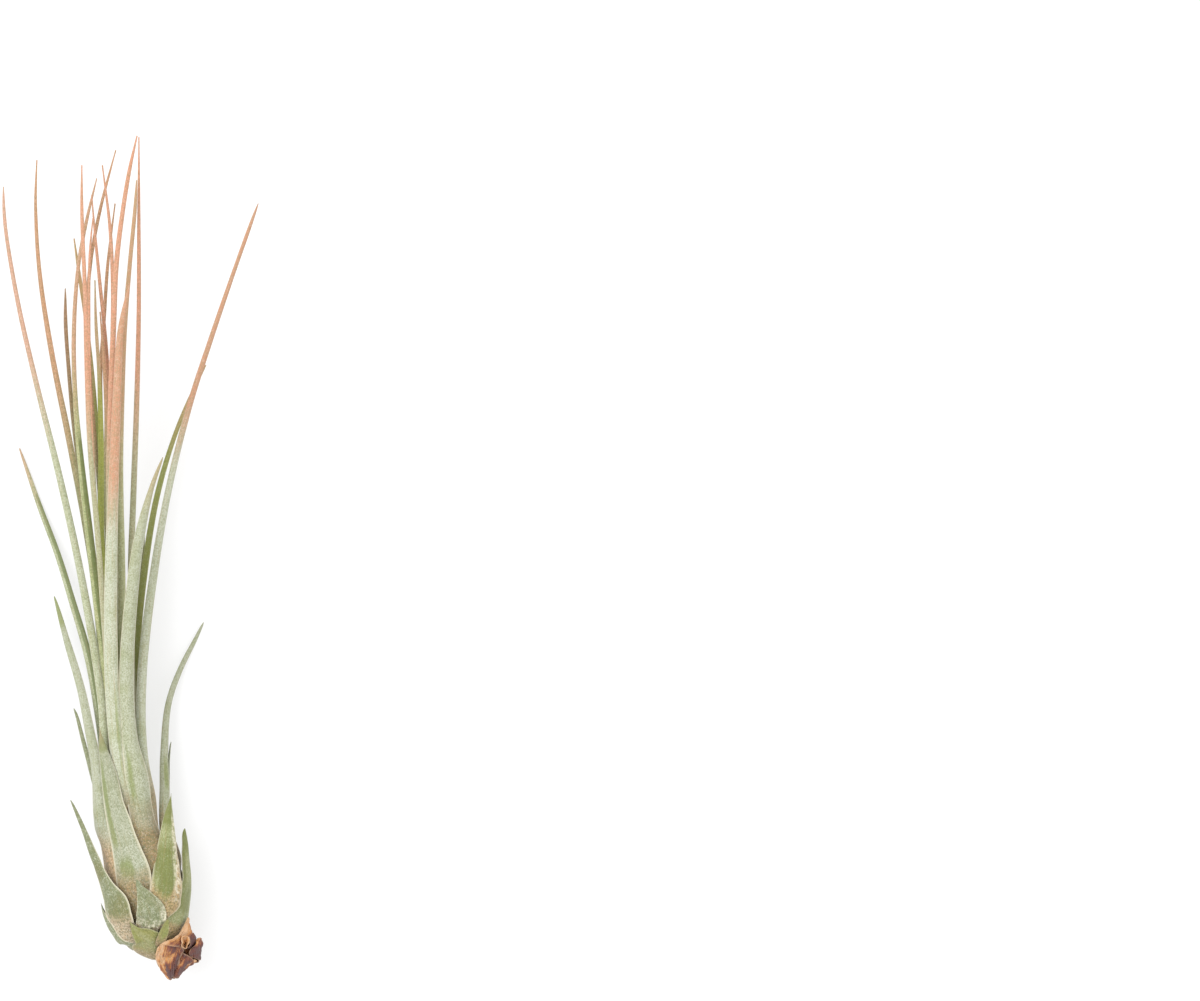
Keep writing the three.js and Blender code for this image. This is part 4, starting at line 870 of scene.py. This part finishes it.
    # Thin margins and papery patches are pale.
    rim = add_node(tree, "ShaderNodeMath", "Value", {"operation": "MULTIPLY"}, {
        "Value": mark["rim"], "Value_001": skin.margin})
    papery = add_node(tree, "ShaderNodeMath", "Value", {"operation": "MULTIPLY"}, {
        "Value": mark["pale"], "Value_001": thick})
    light = add_node(tree, "ShaderNodeMath", "Value", {"operation": "MAXIMUM"}, {
        "Value": rim, "Value_001": papery})
    layers.append((light, tuple(looks.papery)))
    colour = lay_colours(tree, srgb(skin.body), layers)
    relief = add_node(tree, "ShaderNodeMath", "Value", {"operation": "MULTIPLY_ADD"}, {
        "Value": disc, "Value_001": 0.8, "Value_002": fibre})
    bump = add_node(tree, "ShaderNodeBump", "Normal", {}, {
        "Height": relief, "Strength": 0.6, "Distance": SKIN_RELIEF})
    shader = add_node(tree, "ShaderNodeBsdfPrincipled", "BSDF", {}, {
        "Base Color": colour, "Roughness": 0.62, "IOR": 1.42, "Sheen Weight": 0.1, "Sheen Roughness": 0.6,
        "Normal": bump})
    add_node(tree, "ShaderNodeOutputMaterial", "", {}, {"Surface": shader})
    return material


# From peach to maroon, then how far apart in age two of these colours are and where the first gives way.
DRY_AGES = ("#c19b76", "#b37c44", "#7f4a32", "#5b322b", "#573d3a")
AGE_STEP = 0.22
FIRST_AGE = 0.72


def dry_material(name):
    """Dried leaf sheath: papery, brittle tissue, peach where it is fresh and maroon where it is old, with
    painted shade in its creases and painted light on its ridges.
    """
    material, tree = new_material(name)
    here = add_node(tree, "ShaderNodeTexCoord", "Object")
    on_leaf = add_node(tree, "ShaderNodeTexCoord", "UV")
    fibre_place = add_node(tree, "ShaderNodeMapping", "Vector", {}, {
        "Vector": on_leaf, "Scale": (1 / DRY_FIBRE_WIDTH, 1 / DRY_FIBRE_LENGTH, 1)})
    fibre = add_node(tree, "ShaderNodeTexNoise", "Fac", {}, {
        "Vector": fibre_place, "Scale": 1.0, "Detail": 3.0, "Roughness": 0.65})
    blotch = add_node(tree, "ShaderNodeTexNoise", "Fac", {}, {
        "Vector": here, "Scale": 1 / DRY_BLOTCH, "Detail": 3.0, "Roughness": 0.6})
    # Read from the mesh: how old the sheath is, together with painted shade in its creases and painted light
    # on its ridges.
    age = add_node(tree, "ShaderNodeAttribute", "Fac", {"attribute_name": "age"})
    uneven = add_node(tree, "ShaderNodeMath", "Value", {"operation": "MULTIPLY_ADD"}, {
        "Value": fibre, "Value_001": 0.5, "Value_002": blotch})
    uneven = add_node(tree, "ShaderNodeMath", "Value", {"operation": "ADD"}, {
        "Value": uneven, "Value_001": age})
    layers = []
    for i, code in enumerate(DRY_AGES[1:]):
        start = FIRST_AGE + i * AGE_STEP
        step = add_node(tree, "ShaderNodeMapRange", "Result", {}, {
            "Value": uneven, "From Min": start, "From Max": start + AGE_STEP})
        layers.append((step, srgb(code)))
    rim = add_node(tree, "ShaderNodeAttribute", "Fac", {"attribute_name": "rim"})
    worn = add_node(tree, "ShaderNodeMath", "Value", {"operation": "MULTIPLY"}, {
        "Value": rim, "Value_001": 0.45})
    layers.append((worn, tuple(bpy.context.scene.air_plant_looks.torn_edge)))
    colour = lay_colours(tree, srgb(DRY_AGES[0]), layers)
    bump = add_node(tree, "ShaderNodeBump", "Normal", {}, {
        "Height": fibre, "Strength": 0.8, "Distance": DRY_RELIEF})
    shader = add_node(tree, "ShaderNodeBsdfPrincipled", "BSDF", {}, {
        "Base Color": colour, "Roughness": 0.48, "IOR": 1.45, "Normal": bump})
    add_node(tree, "ShaderNodeOutputMaterial", "", {}, {"Surface": shader})
    return material


def bark_material(name):
    """Dead stem of the plant: dull brown bark that splits into coarse fibres along the stem."""
    material, tree = new_material(name)
    here = add_node(tree, "ShaderNodeTexCoord", "Object")
    fibre_place = add_node(tree, "ShaderNodeMapping", "Vector", {}, {
        "Vector": here, "Scale": (1 / BARK_FIBRE_WIDTH, 1 / BARK_FIBRE_LENGTH, 1 / BARK_FIBRE_WIDTH)})
    fibre = add_node(tree, "ShaderNodeTexNoise", "Fac", {}, {
        "Vector": fibre_place, "Scale": 1.0, "Detail": 4.0, "Roughness": 0.7})
    split = add_node(tree, "ShaderNodeMapRange", "Result", {}, {
        "Value": fibre, "From Min": 0.38, "From Max": 0.62})
    colour = lay_colours(tree, srgb("#3f2c1e"), [(split, srgb("#8a6a48"))])
    bump = add_node(tree, "ShaderNodeBump", "Normal", {}, {
        "Height": fibre, "Strength": 1.0, "Distance": BARK_RELIEF})
    shader = add_node(tree, "ShaderNodeBsdfPrincipled", "BSDF", {}, {
        "Base Color": colour, "Roughness": 0.85, "Normal": bump})
    add_node(tree, "ShaderNodeOutputMaterial", "", {}, {"Surface": shader})
    return material


def floor_material():
    """Opal acrylic lit from below, as on a light table: matt white, and shadows on it stay faint."""
    material, tree = new_material("lit_opal_acrylic")
    shader = add_node(tree, "ShaderNodeBsdfPrincipled", "BSDF", {}, {
        "Base Color": srgb("#989898"), "Roughness": 0.9, "Specular IOR Level": 0.0,
        "Emission Color": srgb("#ffffff"), "Emission Strength": 0.62})
    add_node(tree, "ShaderNodeOutputMaterial", "", {}, {"Surface": shader})
    return material


MATERIALS = {}


def skin_material(finish):
    if finish not in MATERIALS:
        MATERIALS[finish] = leaf_material(finish + "_leaf_skin", SKINS[finish])
    return MATERIALS[finish]


def model_leaves(leaves, columns, step):
    for leaf in leaves:
        model_leaf(leaf, skin_material(leaf.finish), columns, step)


def between_rows(rows, u, v):
    """The value at u across and v down in rows of values, evenly spread."""
    def pick(values, share):
        place = min(max(share, 0.0), 1.0) * (len(values) - 1)
        i = min(int(place), len(values) - 2)
        return values[i], values[i + 1], place - i

    upper, lower, down = pick(rows, v)
    ends = []
    for row in (upper, lower):
        left, right, over_to = pick(row, u)
        ends.append(left + (right - left) * over_to)
    return ends[0] + (ends[1] - ends[0]) * down


def model_shard(shard, material):
    """Draws a sheet through a shard's rows of points, subdivides it, and crumples it along its fibres.

    Each row of points is its own, as torn tissue repeats nothing, so the grid's points are placed by row.
    """
    deselect()
    rows, columns = len(shard.rows), len(shard.rows[0])
    bpy.ops.mesh.primitive_grid_add(x_subdivisions=columns - 1, y_subdivisions=rows - 1, size=2)
    piece = bpy.context.object
    piece.name = shard.name
    mesh = piece.data
    uv = mesh.uv_layers.active
    for loop in mesh.loops:
        spot = mesh.vertices[loop.vertex_index].co
        uv.data[loop.index].uv = ((spot.x + 1) / 2, (1 - spot.y) / 2)
    for vertex in mesh.vertices:
        column = round((vertex.co.x + 1) / 2 * (columns - 1))
        row = round((1 - vertex.co.y) / 2 * (rows - 1))
        vertex.co = from_plan(Vector(shard.rows[row][column]))
    bpy.ops.object.mode_set(mode="EDIT")
    bpy.ops.mesh.select_all(action="SELECT")
    bpy.ops.mesh.flip_normals()
    bpy.ops.object.mode_set(mode="OBJECT")
    apply_modifier("SUBSURF", levels=3, render_levels=3)
    mesh = piece.data
    place = {}
    for loop in mesh.loops:
        place[loop.vertex_index] = tuple(mesh.uv_layers.active.data[loop.index].uv)
    seed = sum(map(ord, shard.name)) % 97
    normals = [Vector(vertex.normal) for vertex in mesh.vertices]
    age, rim, thickness = [], [], []
    for vertex, normal in zip(mesh.vertices, normals):
        u, v = place[vertex.index]
        spot = vertex.co / MM
        fold = abs(noise.noise(Vector((u * 9, v * 1.3, seed))))
        ridge = (min(fold * 4, 1.0) - 0.6) * RIDGE_HEIGHT * shard.ridges
        crease = (noise.voronoi(spot * 0.4 + Vector((seed, 0, 0)))[0][0] - 0.45) * CREASE_DEPTH
        fine = noise.noise(spot * 1.9) * 0.1
        vertex.co += normal * (ridge + crease + fine) * MM
        shade = between_rows(shard.age, u, v)
        # The creases and the grooves between the ridges are painted darker, towards maroon, and the raised
        # parts lighter: painted shade and painted light.
        age.append(shade - crease * CREASE_SHADE - ridge * RIDGE_SHADE)
        rim.append(ease(max(abs(u - 0.5), abs(v - 0.5)) * 2, 0.86, 1.0))
        thickness.append(SHARD_THICKNESS + SHARD_UNEVEN * noise.noise(spot * 0.8) - SHARD_UNEVEN * rim[-1])
    for loop in mesh.loops:
        u, v = place[loop.vertex_index]
        mesh.uv_layers.active.data[loop.index].uv = (u * SHARD_SIZE * MM, v * SHARD_SIZE * MM)
    write_attribute(mesh, "age", age)
    write_attribute(mesh, "rim", rim)
    finish_sheet(piece, thickness, SHARD_MOST)
    piece.data.materials.clear()
    piece.data.materials.append(material)
    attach(piece, BODY)
    if shard.node:
        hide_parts(shard.node)


class AirPlantLooks(bpy.types.PropertyGroup):
    """Fine sizes and colours of the plant."""

    rib_height: bpy.props.FloatProperty(
        name="Rib height", description="Height of the ribs over the veins of a broad leaf", default=0.05 * MM,
        min=0.0, max=0.5 * MM, precision=5, unit="LENGTH")
    margin_wave: bpy.props.FloatProperty(
        name="Margin wave", description="How much the thin margins of a broad leaf wave", default=0.4 * MM,
        min=0.0, max=2 * MM, precision=5, unit="LENGTH")
    scurf: bpy.props.FloatVectorProperty(
        name="Scurf", description="Colour of the scales on a leaf", default=srgb("#b9bcac"), size=4,
        min=0.0, max=1.0, subtype="COLOR")
    papery: bpy.props.FloatVectorProperty(
        name="Papery skin", description="Colour of thin margins and dry patches", default=srgb("#cbc4ad"),
        size=4, min=0.0, max=1.0, subtype="COLOR")
    torn_edge: bpy.props.FloatVectorProperty(
        name="Torn edge", description="Colour of the worn edge of a dried sheath", default=srgb("#bf9d7c"),
        size=4, min=0.0, max=1.0, subtype="COLOR")


class AirPlantStage(bpy.types.PropertyGroup):
    """Sizes and lights of the stage."""

    floor_width: bpy.props.FloatProperty(
        name="Floor width", description="Width of the square floor", default=6.0, min=1.0, unit="LENGTH")
    lens: bpy.props.FloatProperty(
        name="Lens", description="Focal length of the camera", default=150.0, min=10.0, unit="CAMERA")
    key_power: bpy.props.FloatProperty(
        name="Key light", description="Power of the large soft light at the left", default=52.0, unit="POWER")
    sky: bpy.props.FloatProperty(
        name="Sky strength", description="Brightness of the even light all round", default=1.42, min=0.0)


class AIRPLANT_OT_stage(bpy.types.Operator):
    """Adds the pale floor, the soft lights and the camera that looks straight down"""

    bl_idname = "airplant.stage"
    bl_label = "Stage"

    def execute(self, context):
        settings = context.scene.air_plant_stage
        deselect()
        bpy.ops.mesh.primitive_plane_add(size=settings.floor_width)
        floor = context.object
        floor.name = "floor"
        floor.data.materials.append(floor_material())
        bpy.ops.object.light_add(type="AREA", location=KEY_PLACE)
        key = context.object
        key.name = "soft_key"
        key.data.size = KEY_SIZE
        key.data.energy = settings.key_power
        key.rotation_euler = (KEY_AIM - key.location).to_track_quat("-Z", "Y").to_euler()
        world = bpy.data.worlds.new("even_light")
        world.use_nodes = True
        world.node_tree.nodes["Background"].inputs["Color"].default_value = (1, 1, 1, 1)
        world.node_tree.nodes["Background"].inputs["Strength"].default_value = settings.sky
        context.scene.world = world
        bpy.ops.object.camera_add(location=EYE * MM, rotation=(0, 0, 0))
        camera = context.object
        camera.name = "camera"
        camera.data.lens = settings.lens
        camera.data.sensor_width = SENSOR_WIDTH
        context.scene.camera = camera
        context.scene.view_settings.view_transform = "Standard"
        return {"FINISHED"}


class AIRPLANT_OT_basal_leaves(bpy.types.Operator):
    """Models the short, broad leaves round the bulb"""

    bl_idname = "airplant.basal_leaves"
    bl_label = "Basal leaves"

    def execute(self, context):
        model_leaves(BASAL_LEAVES, columns=28, step=0.8)
        return {"FINISHED"}


class AIRPLANT_OT_short_leaves(bpy.types.Operator):
    """Models the short leaves with broad sheaths"""

    bl_idname = "airplant.short_leaves"
    bl_label = "Short leaves"

    def execute(self, context):
        model_leaves(SHORT_LEAVES, columns=24, step=1.5)
        return {"FINISHED"}


class AIRPLANT_OT_long_leaves(bpy.types.Operator):
    """Models the long rush-like leaves of the tuft's outer ring"""

    bl_idname = "airplant.long_leaves"
    bl_label = "Long leaves"

    def execute(self, context):
        model_leaves(LONG_LEAVES, columns=12, step=2.2)
        return {"FINISHED"}


class AIRPLANT_OT_inner_leaves(bpy.types.Operator):
    """Models the thin leaves in the middle of the tuft"""

    bl_idname = "airplant.inner_leaves"
    bl_label = "Inner leaves"

    def execute(self, context):
        model_leaves(INNER_LEAVES, columns=6, step=2.5)
        return {"FINISHED"}


class AIRPLANT_OT_dry_sheaths(bpy.types.Operator):
    """Models the dried sheaths on the old stem end"""

    bl_idname = "airplant.dry_sheaths"
    bl_label = "Dry sheaths"

    def execute(self, context):
        material = dry_material("dried_leaf_sheath")
        for shard in SHARDS:
            model_shard(shard, material)
        return {"FINISHED"}


class AIRPLANT_OT_stem(bpy.types.Operator):
    """Models the stem by drawing a ring out from station to station"""

    bl_idname = "airplant.stem"
    bl_label = "Stem"

    def execute(self, context):
        deselect()
        y, x, z, radius = STEM[0]
        start = from_plan(Vector((x, y, z)))
        bpy.ops.mesh.primitive_circle_add(
            vertices=24, radius=radius * MM, fill_type="TRIFAN", location=start,
            rotation=(math.pi / 2, 0, 0))
        piece = context.object
        bpy.ops.object.transform_apply(location=True, rotation=True, scale=True)
        bpy.ops.object.mode_set(mode="EDIT")
        previous = start
        for y, x, z, r in STEM[1:]:
            spot = from_plan(Vector((x, y, z)))
            bpy.ops.mesh.extrude_region_move(TRANSFORM_OT_translate={"value": spot - previous})
            bpy.ops.transform.resize(value=(r / radius, r / radius, r / radius), center_override=spot)
            previous = spot
            radius = r
        bpy.ops.mesh.select_all(action="SELECT")
        bpy.ops.mesh.normals_make_consistent(inside=False)
        bpy.ops.object.mode_set(mode="OBJECT")
        apply_modifier("SUBSURF", levels=1, render_levels=1)
        bpy.ops.object.shade_smooth()
        piece.name = "stem_fine"
        dress(piece, "stem", bark_material("fibrous_stem_bark"))
        return {"FINISHED"}


class AIRPLANT_PT_panel(bpy.types.Panel):
    """Lists the steps that model the plant"""

    bl_label = "Air Plant"
    bl_space_type = "VIEW_3D"
    bl_region_type = "UI"
    bl_category = "Air Plant"

    def draw(self, context):
        for group in (context.scene.air_plant_looks, context.scene.air_plant_stage):
            for name in group.__annotations__:
                self.layout.prop(group, name)
        for step in STEPS:
            self.layout.operator(step.bl_idname)


STEPS = (
    AIRPLANT_OT_stage, AIRPLANT_OT_stem, AIRPLANT_OT_dry_sheaths, AIRPLANT_OT_basal_leaves,
    AIRPLANT_OT_short_leaves, AIRPLANT_OT_long_leaves, AIRPLANT_OT_inner_leaves,
)
CLASSES = (AirPlantLooks, AirPlantStage, *STEPS, AIRPLANT_PT_panel)


def register():
    for cls in CLASSES:
        bpy.utils.register_class(cls)
    bpy.types.Scene.air_plant_looks = bpy.props.PointerProperty(type=AirPlantLooks)
    bpy.types.Scene.air_plant_stage = bpy.props.PointerProperty(type=AirPlantStage)


def unregister():
    del bpy.types.Scene.air_plant_stage
    del bpy.types.Scene.air_plant_looks
    for cls in reversed(CLASSES):
        bpy.utils.unregister_class(cls)


def main():
    register()
    bpy.ops.airplant.stage()
    bpy.ops.airplant.stem()
    bpy.ops.airplant.dry_sheaths()
    bpy.ops.airplant.basal_leaves()
    bpy.ops.airplant.short_leaves()
    bpy.ops.airplant.long_leaves()
    bpy.ops.airplant.inner_leaves()


if __name__ == "__main__":
    main()
